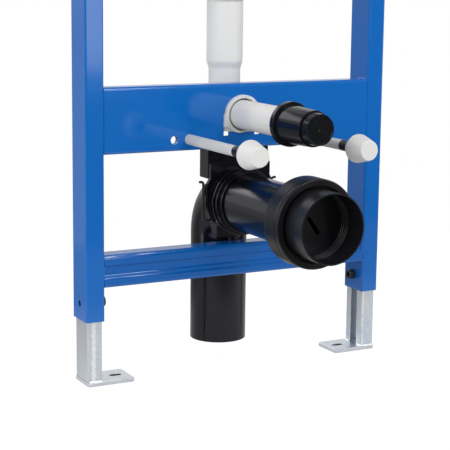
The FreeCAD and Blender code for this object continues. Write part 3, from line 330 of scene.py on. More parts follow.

# Foot plates: flat steel plate, zinc plated like the rest. The walls of their slots are painted dull and
# dark: painted shade in the slots.
SLOT_FROM_END = 21 * MM
SLOT_HALF_LENGTH = 10.5 * MM
SLOT_HALF_WIDTH = 5.5 * MM
SLOT_RIM = 0.3 * MM
for side in ("left", "right"):
    plate_zinc, place, colour, shader = zinc_plating("zinc_plated_punched_plate_" + side)
    low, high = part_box("foot_plate_" + side)
    slot_middle = high.x - SLOT_FROM_END if side == "left" else low.x + SLOT_FROM_END
    axes = add_node(plate_zinc, "ShaderNodeSeparateXYZ", {"Vector": place})
    along = add_node(plate_zinc, "ShaderNodeMath", {
        0: axes.outputs["X"], 1: slot_middle, 2: SLOT_HALF_LENGTH,
    }, operation="COMPARE")
    across = add_node(plate_zinc, "ShaderNodeMath", {
        0: axes.outputs["Y"], 1: (low.y + high.y) / 2, 2: SLOT_HALF_WIDTH,
    }, operation="COMPARE")
    # Painted shade: the slot's walls, below the plate's top, are painted dark grey.
    slot_shade = add_node(plate_zinc, "ShaderNodeMath", {
        0: along.outputs[0], 1: across.outputs[0],
    }, operation="MULTIPLY")
    sunk = add_node(plate_zinc, "ShaderNodeMath", {
        0: axes.outputs["Z"], 1: high.z - SLOT_RIM,
    }, operation="LESS_THAN")
    slot_shade = add_node(plate_zinc, "ShaderNodeMath", {
        0: slot_shade.outputs[0], 1: sunk.outputs[0],
    }, operation="MULTIPLY")
    tint = add_node(plate_zinc, "ShaderNodeMix", {
        "Factor": slot_shade.outputs[0], 6: colour, 7: linear("#757B77"),
    }, data_type="RGBA")
    link(plate_zinc, tint.outputs[2], shader, "Base Color")
    finish_nodes(plate_zinc, "foot_plate_" + side)

# Legs: roll-formed steel channel, zinc plated. A bright ragged band along one bend of the front is a
# painted highlight, the line at the joint with the plate is painted dark as painted shade, the right leg
# has a bluish spot of oil, and the part of a leg that is inside its post is painted dark as painted shade.
JOINT_LINE = 1.4 * MM
BAND_RAG = 3.2 * MM
BAND_EDGE = 0.8 * MM
OILY_SPOT = 28 * MM
POST_CLEARANCE = 6 * MM
# Each painted highlight band has its middle along X, half its width and how ragged it is.
HIGHLIGHT_BAND = {"left": (-2.2 * MM, 3.2 * MM, 2 * MM), "right": (480.2 * MM, 1.5 * MM, 0.6 * MM)}
for side, (band_middle, band_half, band_ragged) in HIGHLIGHT_BAND.items():
    leg_zinc, place, colour, shader = zinc_plating("zinc_plated_channel_" + side)
    plate_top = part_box("foot_plate_" + side)[1].z
    axes = add_node(leg_zinc, "ShaderNodeSeparateXYZ", {"Vector": place})
    facing = add_node(leg_zinc, "ShaderNodeNewGeometry")
    facing = add_node(leg_zinc, "ShaderNodeSeparateXYZ", {"Vector": facing.outputs["Normal"]})
    in_front = add_node(leg_zinc, "ShaderNodeMath", {
        0: facing.outputs["Y"], 1: -0.9,
    }, operation="LESS_THAN")
    ragged = add_node(leg_zinc, "ShaderNodeTexNoise", {
        "Vector": place, "Scale": 1 / BAND_RAG, "Detail": 3.0,
    })
    spread = add_node(leg_zinc, "ShaderNodeMapRange", {
        "Value": ragged.outputs["Fac"], "From Min": 0.3, "From Max": 0.7,
        "To Min": -band_ragged, "To Max": band_ragged,
    })
    across = add_node(leg_zinc, "ShaderNodeMath", {
        0: axes.outputs["X"], 1: band_middle,
    }, operation="SUBTRACT")
    across = add_node(leg_zinc, "ShaderNodeMath", {0: across.outputs[0]}, operation="ABSOLUTE")
    across = add_node(leg_zinc, "ShaderNodeMath", {
        0: across.outputs[0], 1: spread.outputs["Result"],
    }, operation="ADD")
    # Painted highlight: a ragged near-white band on the faces that look to the front.
    highlight_band = add_node(leg_zinc, "ShaderNodeMapRange", {
        "Value": across.outputs[0], "From Min": band_half - BAND_EDGE, "From Max": band_half + BAND_EDGE,
        "To Min": 0.85, "To Max": 0.0,
    })
    highlight_band = add_node(leg_zinc, "ShaderNodeMath", {
        0: highlight_band.outputs["Result"], 1: in_front.outputs[0],
    }, operation="MULTIPLY")
    tint = add_node(leg_zinc, "ShaderNodeMix", {
        "Factor": highlight_band.outputs[0], 6: colour, 7: linear("#FBFCFD"),
    }, data_type="RGBA")
    # Painted shade: a dark line on the leg just above the plate.
    painted_shade_mask = add_node(leg_zinc, "ShaderNodeMapRange", {
        "Value": axes.outputs["Z"],
        "From Min": plate_top + JOINT_LINE / 2, "From Max": plate_top + JOINT_LINE,
        "To Min": 0.8, "To Max": 0.0,
    })
    tint = add_node(leg_zinc, "ShaderNodeMix", {
        "Factor": painted_shade_mask.outputs["Result"], 6: tint.outputs[2], 7: linear("#4A5056"),
    }, data_type="RGBA")
    if side == "right":
        spot = add_node(leg_zinc, "ShaderNodeTexNoise", {
            "Vector": place, "Scale": 1 / OILY_SPOT, "Detail": 3.0, "Distortion": 1.2,
        })
        oily = add_node(leg_zinc, "ShaderNodeMapRange", {
            "Value": spot.outputs["Fac"], "From Min": 0.5, "From Max": 0.58, "To Min": 0.0, "To Max": 0.5,
        })
        tint = add_node(leg_zinc, "ShaderNodeMix", {
            "Factor": oily.outputs["Result"], 6: tint.outputs[2], 7: linear("#BFD0EA"),
        }, data_type="RGBA")
    covered = add_node(leg_zinc, "ShaderNodeAmbientOcclusion", {"Distance": POST_CLEARANCE}, samples=8)
    shaded = add_node(leg_zinc, "ShaderNodeMapRange", {
        "Value": covered.outputs["AO"], "From Min": 0.25, "From Max": 0.12, "To Min": 0.0, "To Max": 0.95,
    })
    tint = add_node(leg_zinc, "ShaderNodeMix", {
        "Factor": shaded.outputs["Result"], 6: tint.outputs[2], 7: linear("#141517"),
    }, data_type="RGBA")
    link(leg_zinc, tint.outputs[2], shader, "Base Color")
    finish_nodes(leg_zinc, "leg_" + side)

# Foot welds: beads round the foot of each leg, laid before plating. Their zinc is painted near white, the
# brightest of the zinc: a painted highlight. They stop short of the leg's slot.
LIP_WELD = 10 * MM
weld_zinc = zinc_plating("zinc_plated_weld", "#FFFFFF", "#E8ECEF")[0]
for side in ("left", "right"):
    low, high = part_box("leg_" + side)
    plate_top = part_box("foot_plate_" + side)[1].z
    inner = high.x if side == "left" else low.x
    outer = low.x if side == "left" else high.x
    inward = 1 if side == "left" else -1
    runs = [
        ((outer + inward * BEAD_INSET / 2, y, plate_top), (inner - inward * BEAD_RADIUS, y, plate_top))
        for y in (low.y, high.y)
    ]
    runs += [
        ((inner, low.y + BEAD_RADIUS, plate_top), (inner, low.y + LIP_WELD, plate_top)),
        ((inner, high.y - LIP_WELD, plate_top), (inner, high.y - BEAD_RADIUS, plate_top)),
    ]
    weld_seam("foot_weld_" + side, runs, weld_zinc, side + "_leg")


# Clamp screws and wire clips: M10 socket screws and spring wire with a black oxide finish,
# matt, with the uneven sheen of the oil that seals it.
OIL_FILM = 3 * MM
black_oxide, shader = new_material("black_oxide_steel", "#17181A", 0.42)
place = add_node(black_oxide, "ShaderNodeTexCoord")
oil = add_node(black_oxide, "ShaderNodeTexNoise", {
    "Vector": place.outputs["Object"], "Scale": 1 / OIL_FILM, "Detail": 3.0,
})
gloss = add_node(black_oxide, "ShaderNodeMapRange", {
    "Value": oil.outputs["Fac"], "To Min": 0.32, "To Max": 0.52,
})
link(black_oxide, gloss.outputs["Result"], shader, "Roughness")
for side in ("left", "right"):
    finish_nodes(black_oxide, "clamp_screw_" + side, "bend_clip_" + side)


# Studs: each M12 rod is hidden by a grey PVC sleeve, closed by a rubber bushing and a white cap.
# The sleeve is extruded tube, matt with faint lines along it; the bushing is moulded EPDM with
# a dull bloom; the cap is moulded PP with a soft gloss and rounded edges that catch the light.
DRAWN_LINE = 1.5 * MM
BLOOM = 18 * MM
FLOW_MARK = 25 * MM
MOULDED_EDGE = 0.5 * MM
grey_pvc, shader = new_material("extruded_grey_pvc", "#B8B8B3", 0.42)
place = add_node(grey_pvc, "ShaderNodeTexCoord")
stretch = add_node(grey_pvc, "ShaderNodeMapping", {
    "Vector": place.outputs["Object"], "Scale": (1.0, 0.04, 1.0),
})
drawn = add_node(grey_pvc, "ShaderNodeTexNoise", {
    "Vector": stretch.outputs["Vector"], "Scale": 1 / DRAWN_LINE, "Detail": 2.0,
})
tone = add_node(grey_pvc, "ShaderNodeMix", {
    "Factor": drawn.outputs["Fac"], 6: linear("#C6C6C3"), 7: linear("#CDCDCA"),
}, data_type="RGBA")
link(grey_pvc, tone.outputs[2], shader, "Base Color")

rubber, shader = new_material("moulded_epdm_rubber", "#0E0E10", 0.36, Specular_IOR_Level=0.3)
place = add_node(rubber, "ShaderNodeTexCoord")
bloom = add_node(rubber, "ShaderNodeTexNoise", {
    "Vector": place.outputs["Object"], "Scale": 1 / BLOOM, "Detail": 5.0,
})
gloss = add_node(rubber, "ShaderNodeMapRange", {
    "Value": bloom.outputs["Fac"], "From Min": 0.3, "From Max": 0.7, "To Min": 0.32, "To Max": 0.4,
})
link(rubber, gloss.outputs["Result"], shader, "Roughness")

white_pp, shader = new_material("moulded_white_polypropylene", "#DBDBD9", 0.24)
place = add_node(white_pp, "ShaderNodeTexCoord")
flow = add_node(white_pp, "ShaderNodeTexNoise", {
    "Vector": place.outputs["Object"], "Scale": 1 / FLOW_MARK, "Detail": 2.0,
})
tone = add_node(white_pp, "ShaderNodeMix", {
    "Factor": flow.outputs["Fac"], 6: linear("#DADAD8"), 7: linear("#DDDDDB"),
}, data_type="RGBA")
gloss = add_node(white_pp, "ShaderNodeMapRange", {
    "Value": flow.outputs["Fac"], "From Min": 0.3, "From Max": 0.7, "To Min": 0.2, "To Max": 0.28,
})
edge = add_node(white_pp, "ShaderNodeBevel", {"Radius": MOULDED_EDGE}, samples=4)
link(white_pp, tone.outputs[2], shader, "Base Color")
link(white_pp, gloss.outputs["Result"], shader, "Roughness")
link(white_pp, edge.outputs["Normal"], shader, "Normal")
for side in ("left", "right"):
    finish_nodes(grey_pvc, "stud_sleeve_" + side)
    finish_nodes(rubber, "stud_bushing_" + side)
    finish_nodes(white_pp, "bowl_cap_" + side)

# Threads: rolled into the stud tails behind the weld nuts and into the bolts behind the posts.
# Each is one ridge wound round the rod, its crest a few tenths above the shank.
RIDGE_HEIGHT = 0.3 * MM
RIDGE_SEAT = 0.2 * MM
THREAD_STEPS = 20
TRIANGLE_HEIGHT = 1.5


def rolled_thread(name, radius, pitch, start, length, turned, material):
    """A thread that starts at a place and runs along Y where it is turned, or along Z."""
    deselect_all()
    corner_radius = pitch / 2
    bpy.ops.mesh.primitive_circle_add(
        vertices=3, radius=corner_radius, location=(radius, 0, 0), rotation=(math.pi / 2, math.pi / 2, 0),
    )
    thread = bpy.context.object
    thread.scale.y = (RIDGE_HEIGHT + RIDGE_SEAT) / (TRIANGLE_HEIGHT * corner_radius)
    bpy.ops.object.transform_apply(location=True, rotation=True, scale=True)
    winding = thread.modifiers.new("winding", "SCREW")
    winding.axis = "Z"
    winding.steps = THREAD_STEPS
    winding.render_steps = THREAD_STEPS
    winding.screw_offset = pitch
    winding.iterations = int(length / pitch)
    apply_modifiers(thread)
    bpy.ops.object.mode_set(mode="EDIT")
    bpy.ops.mesh.select_all(action="SELECT")
    bpy.ops.mesh.fill_holes(sides=3)
    bpy.ops.mesh.select_all(action="SELECT")
    bpy.ops.mesh.normals_make_consistent(inside=False)
    bpy.ops.object.mode_set(mode="OBJECT")
    if turned:
        thread.rotation_euler.x = -math.pi / 2
    thread.location = start
    return settle(thread, name, material, "frame")


M12_PITCH = 1.75 * MM
M10_PITCH = 1.5 * MM
M10_RADIUS = 5 * MM
STUD_TAIL = 15 * MM
THREAD_END = 1 * MM
for side in ("left", "right"):
    low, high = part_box("stud_" + side)
    middle = (low + high) / 2
    rolled_thread(
        "stud_thread_" + side, (high.x - low.x) / 2, M12_PITCH,
        (middle.x, high.y - STUD_TAIL, middle.z), STUD_TAIL - THREAD_END, True, zinc,
    )
    low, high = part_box("wall_bolt_" + side)
    middle = (low + high) / 2
    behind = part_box("post_" + side)[1].y + THREAD_END
    rolled_thread(
        "wall_bolt_thread_" + side, M10_RADIUS, M10_PITCH, (middle.x, behind, middle.z),
        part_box("wall_plate_" + side)[0].y - behind - 2 * THREAD_END, True, zinc,
    )


# Bracket screws: M6 hex screws with a washer, two into the post and two into the cistern.
# Cold headed from steel wire and zinc plated, with a shallow dimple in each head.
HEAD_RADIUS = 5.8 * MM
HEAD_HEIGHT = 3.6 * MM
WASHER_RADIUS = 7 * MM
WASHER_HEIGHT = 1.2 * MM
FACET = 0.5 * MM
FACE_RIM = 1.4 * MM
DIMPLE_SLOPE = 0.8 * MM
DIMPLE_DEPTH = 0.5 * MM


def faces_along(piece, direction, share=0.9):
    """Selects the faces of a piece that look one way."""
    bpy.ops.object.mode_set(mode="EDIT")
    bpy.ops.mesh.select_all(action="DESELECT")
    bpy.ops.object.mode_set(mode="OBJECT")
    for face in piece.data.polygons:
        face.select = face.normal.dot(direction) > share
    bpy.ops.object.mode_set(mode="EDIT")


def hex_screw(name, place, outward):
    """A screw head on its washer, standing out along X."""
    deselect_all()
    bpy.ops.mesh.primitive_cylinder_add(
        vertices=32, radius=WASHER_RADIUS, depth=WASHER_HEIGHT, location=(0, 0, WASHER_HEIGHT / 2),
    )
    washer = bpy.context.object
    faces_along(washer, Vector((0, 0, 1)))
    bpy.ops.mesh.bevel(offset=FACET, segments=2, affect="EDGES")
    bpy.ops.object.mode_set(mode="OBJECT")
    deselect_all()
    bpy.ops.mesh.primitive_cylinder_add(
        vertices=6, radius=HEAD_RADIUS, depth=HEAD_HEIGHT, location=(0, 0, WASHER_HEIGHT + HEAD_HEIGHT / 2),
    )
    head = bpy.context.object
    faces_along(head, Vector((0, 0, 1)))
    bpy.ops.mesh.bevel(offset=FACET, segments=2, affect="EDGES")
    bpy.ops.object.mode_set(mode="OBJECT")
    faces_along(head, Vector((0, 0, 1)), 0.99)
    bpy.ops.mesh.inset(thickness=FACE_RIM, depth=0)
    bpy.ops.mesh.inset(thickness=DIMPLE_SLOPE, depth=-DIMPLE_DEPTH)
    bpy.ops.object.mode_set(mode="OBJECT")
    washer.select_set(True)
    bpy.context.view_layer.objects.active = head
    bpy.ops.object.join()
    head.rotation_euler.y = outward * math.pi / 2
    head.location = place
    return settle(head, name, zinc, "frame")


BRACKET_WALL = 3 * MM
SCREW_FROM_END = 15 * MM
SCREW_FROM_EDGE = 18 * MM
for side, inward in (("left", 1), ("right", -1)):
    low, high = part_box("tank_bracket_" + side)
    near, far = low.y + SCREW_FROM_EDGE, high.y - SCREW_FROM_EDGE
    post_face = (low.x if inward > 0 else high.x) + inward * BRACKET_WALL
    tank_face = (high.x if inward > 0 else low.x) - inward * BRACKET_WALL
    for level, height in enumerate((low.z + SCREW_FROM_END, high.z - SCREW_FROM_END)):
        hex_screw("post_screw_%s_%d" % (side, level), (post_face, near, height), inward)
        hex_screw("tank_screw_%s_%d" % (side, level), (tank_face, far, height), -inward)


# Flush pipe: extruded and moulded white PP, pushed through a clip-in holder. It is duller than
# the caps; the pipe's front end is turned, so it is the dullest, and the holder is greyer.
def plastic_like(source, name, gloss, tones=()):
    """Copies a plastic with its own range of roughness and, where given, its own two tones."""
    material = source.copy()
    material.name = name
    for node in material.node_tree.nodes:
        if node.bl_idname == "ShaderNodeMix" and tones:
            node.inputs[6].default_value, node.inputs[7].default_value = map(linear, tones)
        if node.bl_idname == "ShaderNodeMapRange":
            node.inputs["To Min"].default_value, node.inputs["To Max"].default_value = gloss
    return material, material.node_tree.nodes["Principled BSDF"]


pipe_pp = plastic_like(white_pp, "extruded_white_polypropylene", (0.4, 0.5), ("#DBDBDA", "#DEDEDC"))[0]
finish_nodes(pipe_pp, "flush_bend", "flush_pipe", "flush_union_nut")
# The spigot is painted a little lighter and warmer than the pipe: painted light, against the shade and the
# blue light off the bars that fall on it.
spigot_pp, shader = plastic_like(
    white_pp, "turned_white_polypropylene", (0.5, 0.6), ("#DCDAD6", "#E0DEDA"),
)
shader.inputs["Specular IOR Level"].default_value = 0.25
finish_nodes(spigot_pp, "flush_spigot")
holder_pp = plastic_like(white_pp, "clipped_white_polypropylene", (0.4, 0.5), ("#C8C9CA", "#CDCECF"))[0]
finish_nodes(holder_pp, "flush_holder")


# Waste bend, holder and clamp: injection-moulded black polyethylene, thick and glossy, so the
# blue bars and the studio show in it as dark soft streaks. Its edges are rounded by the mould.
MOULD_SKIN = 3 * MM
black_pe, shader = new_material("moulded_black_polyethylene", "#0A0B0E", 0.17, Specular_IOR_Level=0.38)
place = add_node(black_pe, "ShaderNodeTexCoord")
skin = add_node(black_pe, "ShaderNodeTexNoise", {
    "Vector": place.outputs["Object"], "Scale": 1 / MOULD_SKIN, "Detail": 3.0,
})
gloss = add_node(black_pe, "ShaderNodeMapRange", {
    "Value": skin.outputs["Fac"], "From Min": 0.3, "From Max": 0.7, "To Min": 0.15, "To Max": 0.2,
})
edge = add_node(black_pe, "ShaderNodeBevel", {"Radius": MOULDED_EDGE}, samples=4)
link(black_pe, gloss.outputs["Result"], shader, "Roughness")
link(black_pe, edge.outputs["Normal"], shader, "Normal")
shader.inputs["Specular Tint"].default_value = linear("#F2F0FF")
finish_nodes(black_pe, "waste_bend", "bend_holder", "bend_clamp")

# Flush cap: thin moulded black PP, pushed over the end of the flush pipe. It is smoother than
# the bend and reflects less.
cap_pp, shader = plastic_like(black_pe, "moulded_black_polypropylene", (0.13, 0.17))
shader.inputs["Base Color"].default_value = linear("#141517")
shader.inputs["Specular IOR Level"].default_value = 0.18
finish_nodes(cap_pp, "flush_cap")

# Collar and cup: the collar is moulded EPDM rubber like the bushings. The cup that protects it
# is thin black polyethylene, satin, with a fine skin that spreads the highlights.
CUP_SKIN = 4 * MM
cup_pe, shader = new_material(
    "thin_moulded_black_polyethylene", "#15151A", 0.34, Specular_IOR_Level=0.38,
)
place = add_node(cup_pe, "ShaderNodeTexCoord")
skin = add_node(cup_pe, "ShaderNodeTexNoise", {
    "Vector": place.outputs["Object"], "Scale": 1 / CUP_SKIN, "Detail": 3.0,
})
gloss = add_node(cup_pe, "ShaderNodeMapRange", {
    "Value": skin.outputs["Fac"], "To Min": 0.3, "To Max": 0.38,
})
link(cup_pe, gloss.outputs["Result"], shader, "Roughness")
finish_nodes(cup_pe, "protective_cup")
finish_nodes(rubber, "sealing_collar")


# Cistern and access shaft: blow-moulded and injection-moulded polyethylene. It is matt, with
# the fine pebbled skin that such a mould leaves.
PEBBLE = 1.6 * MM
tank_pe, shader = new_material("blow_moulded_polyethylene", "#D2D4D5", 0.5)
place = add_node(tank_pe, "ShaderNodeTexCoord")
skin = add_node(tank_pe, "ShaderNodeTexNoise", {
    "Vector": place.outputs["Object"], "Scale": 1 / PEBBLE, "Detail": 2.0,
})
bump = add_node(tank_pe, "ShaderNodeBump", {
    "Height": skin.outputs["Fac"], "Strength": 0.2, "Distance": SKIN_DEPTH,
})
link(tank_pe, bump.outputs["Normal"], shader, "Normal")
finish_nodes(tank_pe, "cistern", "access_shaft", "access_cover")

# Seam: the mould's parting line runs round the cistern at mid-depth. It is a low rounded ridge
# of the same plastic, drawn as a rounded rectangle and given a round section.
SEAM_HEIGHT = 0.9 * MM
TANK_CORNER = 18 * MM
low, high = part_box("cistern")
middle = (low + high) / 2
deselect_all()
bpy.ops.mesh.primitive_plane_add(size=1, location=middle, rotation=(math.pi / 2, 0, 0))
seam = bpy.context.object
seam.scale = (high.x - low.x, high.z - low.z, 1)
bpy.ops.object.transform_apply(location=True, rotation=True, scale=True)
bpy.ops.object.mode_set(mode="EDIT")
bpy.ops.mesh.select_all(action="SELECT")
bpy.ops.mesh.bevel(offset=TANK_CORNER, segments=8, affect="VERTICES")
bpy.ops.mesh.select_all(action="SELECT")
bpy.ops.mesh.delete(type="ONLY_FACE")
bpy.ops.object.mode_set(mode="OBJECT")
bpy.ops.object.convert(target="CURVE")
seam.data.bevel_depth = SEAM_HEIGHT
seam.data.bevel_resolution = 2
bpy.ops.object.convert(target="MESH")
settle(seam, "cistern_seam", tank_pe, "frame")

# Water inlet: turned brass, nickel plated, with a pipe thread for the stop valve. The marks of
# the lathe run round it and make its highlights uneven.
LATHE_MARK = 0.6 * MM
brass, shader = new_material("nickel_plated_brass", "#B9B6AC", 0.25, Metallic=1.0)
place = add_node(brass, "ShaderNodeTexCoord")
stretch = add_node(brass, "ShaderNodeMapping", {
    "Vector": place.outputs["Object"], "Scale": (0.08, 0.08, 1.0),
})
turned = add_node(brass, "ShaderNodeTexNoise", {
    "Vector": stretch.outputs["Vector"], "Scale": 1 / LATHE_MARK, "Detail": 2.0,
})
gloss = add_node(brass, "ShaderNodeMapRange", {
    "Value": turned.outputs["Fac"], "To Min": 0.18, "To Max": 0.34,
})
link(brass, gloss.outputs["Result"], shader, "Roughness")
finish_nodes(brass, "water_inlet")
PIPE_PITCH = 1.8 * MM
INLET_RADIUS = 10.5 * MM
INLET_FLANGE = 4 * MM
INLET_PLAIN = 2 * MM
low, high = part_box("water_inlet")
middle = (low + high) / 2
rolled_thread(
    "inlet_thread", INLET_RADIUS, PIPE_PITCH, (middle.x, middle.y, low.z + INLET_FLANGE + INLET_PLAIN),
    high.z - low.z - INLET_FLANGE - 2 * INLET_PLAIN, False, brass,
)


# Studio: a pale floor under a white backdrop, lit by soft boxes and the room. The floor is white
# to the camera, except in the shade under the foot plates, and dimmer in the reflections that
# the frame shows of it, mostly behind the frame and far away.
centre = Vector(((cad_box[0].x + cad_box[1].x) / 2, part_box("post_left")[0].y, 0))
floor_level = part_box("foot_plate_left")[0].z
FLOOR_WIDTH = 2.0
PLATE_SHADOW = 20 * MM
PLATE_RIM = 3 * MM
FLOOR_FRONT_TO_BACK = 0.2
FLOOR_FADE_START = 0.34
FLOOR_FADE_END = 0.52
FLOOR_FAR = 0.35
FLOOR_MIRRORED_BEHIND = 0.6
FLOOR_MIRRORED_IN_FRONT = 0.95
FLOOR_SEEN = 1.12
FLOOR_IN_SHADE = 0.12
FLOOR_GLOWING = 0.85

deselect_all()
bpy.ops.mesh.primitive_plane_add(size=FLOOR_WIDTH, location=(centre.x, centre.y, floor_level))
floor = bpy.context.object
floor.name = "studio_floor"
paper = bpy.data.materials.new("studio_paper")
paper.use_nodes = True
paper.node_tree.nodes.clear()
rays = add_node(paper, "ShaderNodeLightPath")
seen = add_node(paper, "ShaderNodeMath", {
    0: rays.outputs["Is Camera Ray"], 1: rays.outputs["Is Transmission Ray"],
}, operation="MAXIMUM")
place = add_node(paper, "ShaderNodeTexCoord")
depth = add_node(paper, "ShaderNodeSeparateXYZ", {"Vector": place.outputs["Object"]})
mirrored = add_node(paper, "ShaderNodeMapRange", {
    "Value": depth.outputs["Y"], "From Min": -FLOOR_FRONT_TO_BACK, "From Max": FLOOR_FRONT_TO_BACK,
    "To Min": FLOOR_MIRRORED_IN_FRONT, "To Max": FLOOR_MIRRORED_BEHIND,
})
away = add_node(paper, "ShaderNodeMath", {0: depth.outputs["Y"]}, operation="ABSOLUTE")
fade = add_node(paper, "ShaderNodeMapRange", {
    "Value": away.outputs[0], "From Min": FLOOR_FADE_START, "From Max": FLOOR_FADE_END,
    "To Min": 1.0, "To Max": FLOOR_FAR,
})
mirrored = add_node(paper, "ShaderNodeMath", {
    0: mirrored.outputs["Result"], 1: fade.outputs["Result"],
}, operation="MULTIPLY")
glow = add_node(paper, "ShaderNodeMix", {
    "Factor": rays.outputs["Is Glossy Ray"], 2: 0.0, 3: mirrored.outputs[0],
})
low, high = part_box("foot_plate_left")
plate_middle = (low + high) / 2 - centre
plate_half = (high - low) / 2
sideways = add_node(paper, "ShaderNodeMath", {0: depth.outputs["X"]}, operation="ABSOLUTE")
beside = add_node(paper, "ShaderNodeMath", {
    0: sideways.outputs[0], 1: abs(plate_middle.x), 2: plate_half.x - PLATE_RIM,
}, operation="COMPARE")
under = add_node(paper, "ShaderNodeMath", {
    0: depth.outputs["Y"], 1: plate_middle.y, 2: plate_half.y - PLATE_RIM,
}, operation="COMPARE")
covered = add_node(paper, "ShaderNodeAmbientOcclusion", {"Distance": PLATE_SHADOW}, samples=16)
dark = add_node(paper, "ShaderNodeMapRange", {
    "Value": covered.outputs["AO"], "From Min": 0.95, "From Max": 0.7, "To Min": 0.0, "To Max": 1.0,
})
dark = add_node(paper, "ShaderNodeMath", {
    0: dark.outputs["Result"], 1: beside.outputs[0],
}, operation="MULTIPLY")
dark = add_node(paper, "ShaderNodeMath", {0: dark.outputs[0], 1: under.outputs[0]}, operation="MULTIPLY")
bright = add_node(paper, "ShaderNodeMix", {
    "Factor": dark.outputs[0], 2: FLOOR_SEEN, 3: FLOOR_IN_SHADE,
})
glow = add_node(paper, "ShaderNodeMix", {
    "Factor": seen.outputs[0], 2: glow.outputs[0], 3: bright.outputs[0],
})
share = add_node(paper, "ShaderNodeMath", {
    0: seen.outputs[0], 1: rays.outputs["Is Glossy Ray"],
}, operation="MAXIMUM")
share = add_node(paper, "ShaderNodeMath", {0: share.outputs[0], 1: FLOOR_GLOWING}, operation="MULTIPLY")
matt = add_node(paper, "ShaderNodeBsdfDiffuse", {"Color": (0.85, 0.85, 0.85, 1.0)})
white = add_node(paper, "ShaderNodeEmission", {
    "Color": (1.0, 1.0, 1.0, 1.0), "Strength": glow.outputs[0],
})
mixed = add_node(paper, "ShaderNodeMixShader", {
    "Fac": share.outputs[0], 1: matt.outputs["BSDF"], 2: white.outputs["Emission"],
})
add_node(paper, "ShaderNodeOutputMaterial", {"Surface": mixed.outputs["Shader"]})
floor.data.materials.append(paper)

# Room: white to the camera and a dim light on the frame. In reflections it is brighter at the
# back of the studio than at its front, and dimmer below eye level.
ROOM_LIGHT = 0.32
FRONT_OF_STUDIO = 0.24
BACK_OF_STUDIO = 0.86
FRONT_ENDS = -0.55
BACK_STARTS = 0.25
BELOW_EYE_LEVEL = 0.5
HORIZON_BLUR = 0.06
world = bpy.data.worlds.new("studio")
bpy.context.scene.world = world
world.use_nodes = True
world.node_tree.nodes.clear()
rays = add_node(world, "ShaderNodeLightPath")
place = add_node(world, "ShaderNodeTexCoord")
towards = add_node(world, "ShaderNodeSeparateXYZ", {"Vector": place.outputs["Generated"]})
mirrored = add_node(world, "ShaderNodeMapRange", {
    "Value": towards.outputs["Y"], "From Min": FRONT_ENDS, "From Max": BACK_STARTS,
    "To Min": FRONT_OF_STUDIO, "To Max": BACK_OF_STUDIO,
}, interpolation_type="SMOOTHSTEP")
low_part = add_node(world, "ShaderNodeMapRange", {
    "Value": towards.outputs["Z"], "From Min": -HORIZON_BLUR, "From Max": HORIZON_BLUR,
    "To Min": BELOW_EYE_LEVEL, "To Max": 1.0,
}, interpolation_type="SMOOTHSTEP")
mirrored = add_node(world, "ShaderNodeMath", {
    0: mirrored.outputs["Result"], 1: low_part.outputs["Result"],
}, operation="MULTIPLY")
direct = add_node(world, "ShaderNodeMath", {
    0: rays.outputs["Is Camera Ray"], 1: rays.outputs["Is Transmission Ray"],
}, operation="MAXIMUM")
strength = add_node(world, "ShaderNodeMix", {
    "Factor": rays.outputs["Is Glossy Ray"], 2: ROOM_LIGHT, 3: mirrored.outputs[0],
})
strength = add_node(world, "ShaderNodeMix", {
    "Factor": direct.outputs[0], 2: strength.outputs[0], 3: 1.0,
})
sky = add_node(world, "ShaderNodeBackground", {
    "Color": (1.0, 1.0, 1.0, 1.0), "Strength": strength.outputs[0],
})
add_node(world, "ShaderNodeOutputWorld", {"Surface": sky.outputs["Background"]})

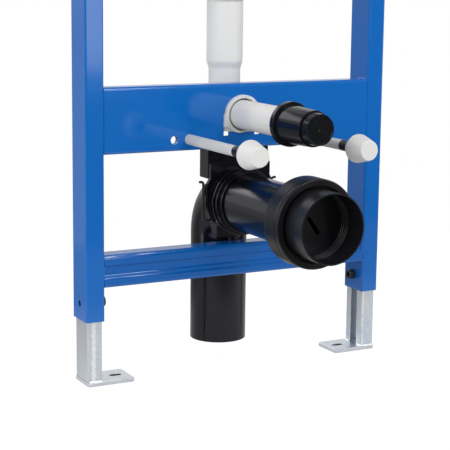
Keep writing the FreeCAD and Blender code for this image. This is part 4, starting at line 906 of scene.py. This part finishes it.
# Soft boxes: each is given by its name, its place from the middle of the frame, its width and
# height in metres and its power in watts.
MIDDLE_HEIGHT = 0.45
SOFT_BOXES = (
    ("key_light", (-3.0, -1.8, 1.5), 2.6, 2.6, 74),
    ("fill_light", (2.8, -1.6, 0.7), 1.8, 2.4, 22),
    ("side_light", (-1.4, 0.3, 0.0), 0.14, 1.5, 3),
    ("top_light", (0.62, -2.2, 1.9), 1.1, 1.0, 33),
    ("front_light", (0.77, -2.5, 0.64), 0.34, 1.7, 6),
    ("back_light", (-1.4, 2.5, 1.9), 2.4, 1.8, 24),
)
aim = Vector((centre.x, centre.y, floor_level + MIDDLE_HEIGHT))
for name, offset, width, height, watts in SOFT_BOXES:
    lamp = bpy.data.lights.new(name, "AREA")
    lamp.shape = "RECTANGLE"
    lamp.size = width
    lamp.size_y = height
    lamp.energy = watts
    box = bpy.data.objects.new(name, lamp)
    box.location = aim + Vector(offset)
    box.rotation_mode = "QUATERNION"
    box.rotation_quaternion = Vector(offset).to_track_quat("Z", "Y")
    bpy.context.scene.collection.objects.link(box)


# Camera: stands to the left of the frame, above the crossbar, with a long lens. It looks down
# a little, and its small shift frames the lower part as the photo does.
CAMERA_TURN = math.radians(-27.83)
CAMERA_RISE = math.radians(9.78)
CAMERA_ROLL = math.radians(0.63)
CAMERA_DISTANCE = 2147 * MM
CAMERA_LENS = 110.6
TARGET_SIDE = -27.9 * MM
TARGET_HEIGHT = 260.6 * MM
FRAMING_SHIFT = -0.04

back = Vector((
    math.sin(CAMERA_TURN) * math.cos(CAMERA_RISE),
    -math.cos(CAMERA_TURN) * math.cos(CAMERA_RISE),
    math.sin(CAMERA_RISE),
))
level = Vector((math.cos(CAMERA_TURN), math.sin(CAMERA_TURN), 0))
upright = back.cross(level)
right = level * math.cos(CAMERA_ROLL) + upright * math.sin(CAMERA_ROLL)
up = upright * math.cos(CAMERA_ROLL) - level * math.sin(CAMERA_ROLL)
target = Vector((centre.x + TARGET_SIDE, centre.y, floor_level + TARGET_HEIGHT))
camera = bpy.data.objects.new("camera", bpy.data.cameras.new("camera"))
bpy.context.scene.collection.objects.link(camera)
view_axes = Matrix((right, up, back)).transposed().to_4x4()
camera.matrix_world = Matrix.Translation(target + back * CAMERA_DISTANCE) @ view_axes
camera.data.lens = CAMERA_LENS
camera.data.shift_y = FRAMING_SHIFT
camera.data.clip_start = 0.05
camera.data.clip_end = 100
bpy.context.scene.camera = camera
bpy.context.scene.view_settings.view_transform = "Standard"
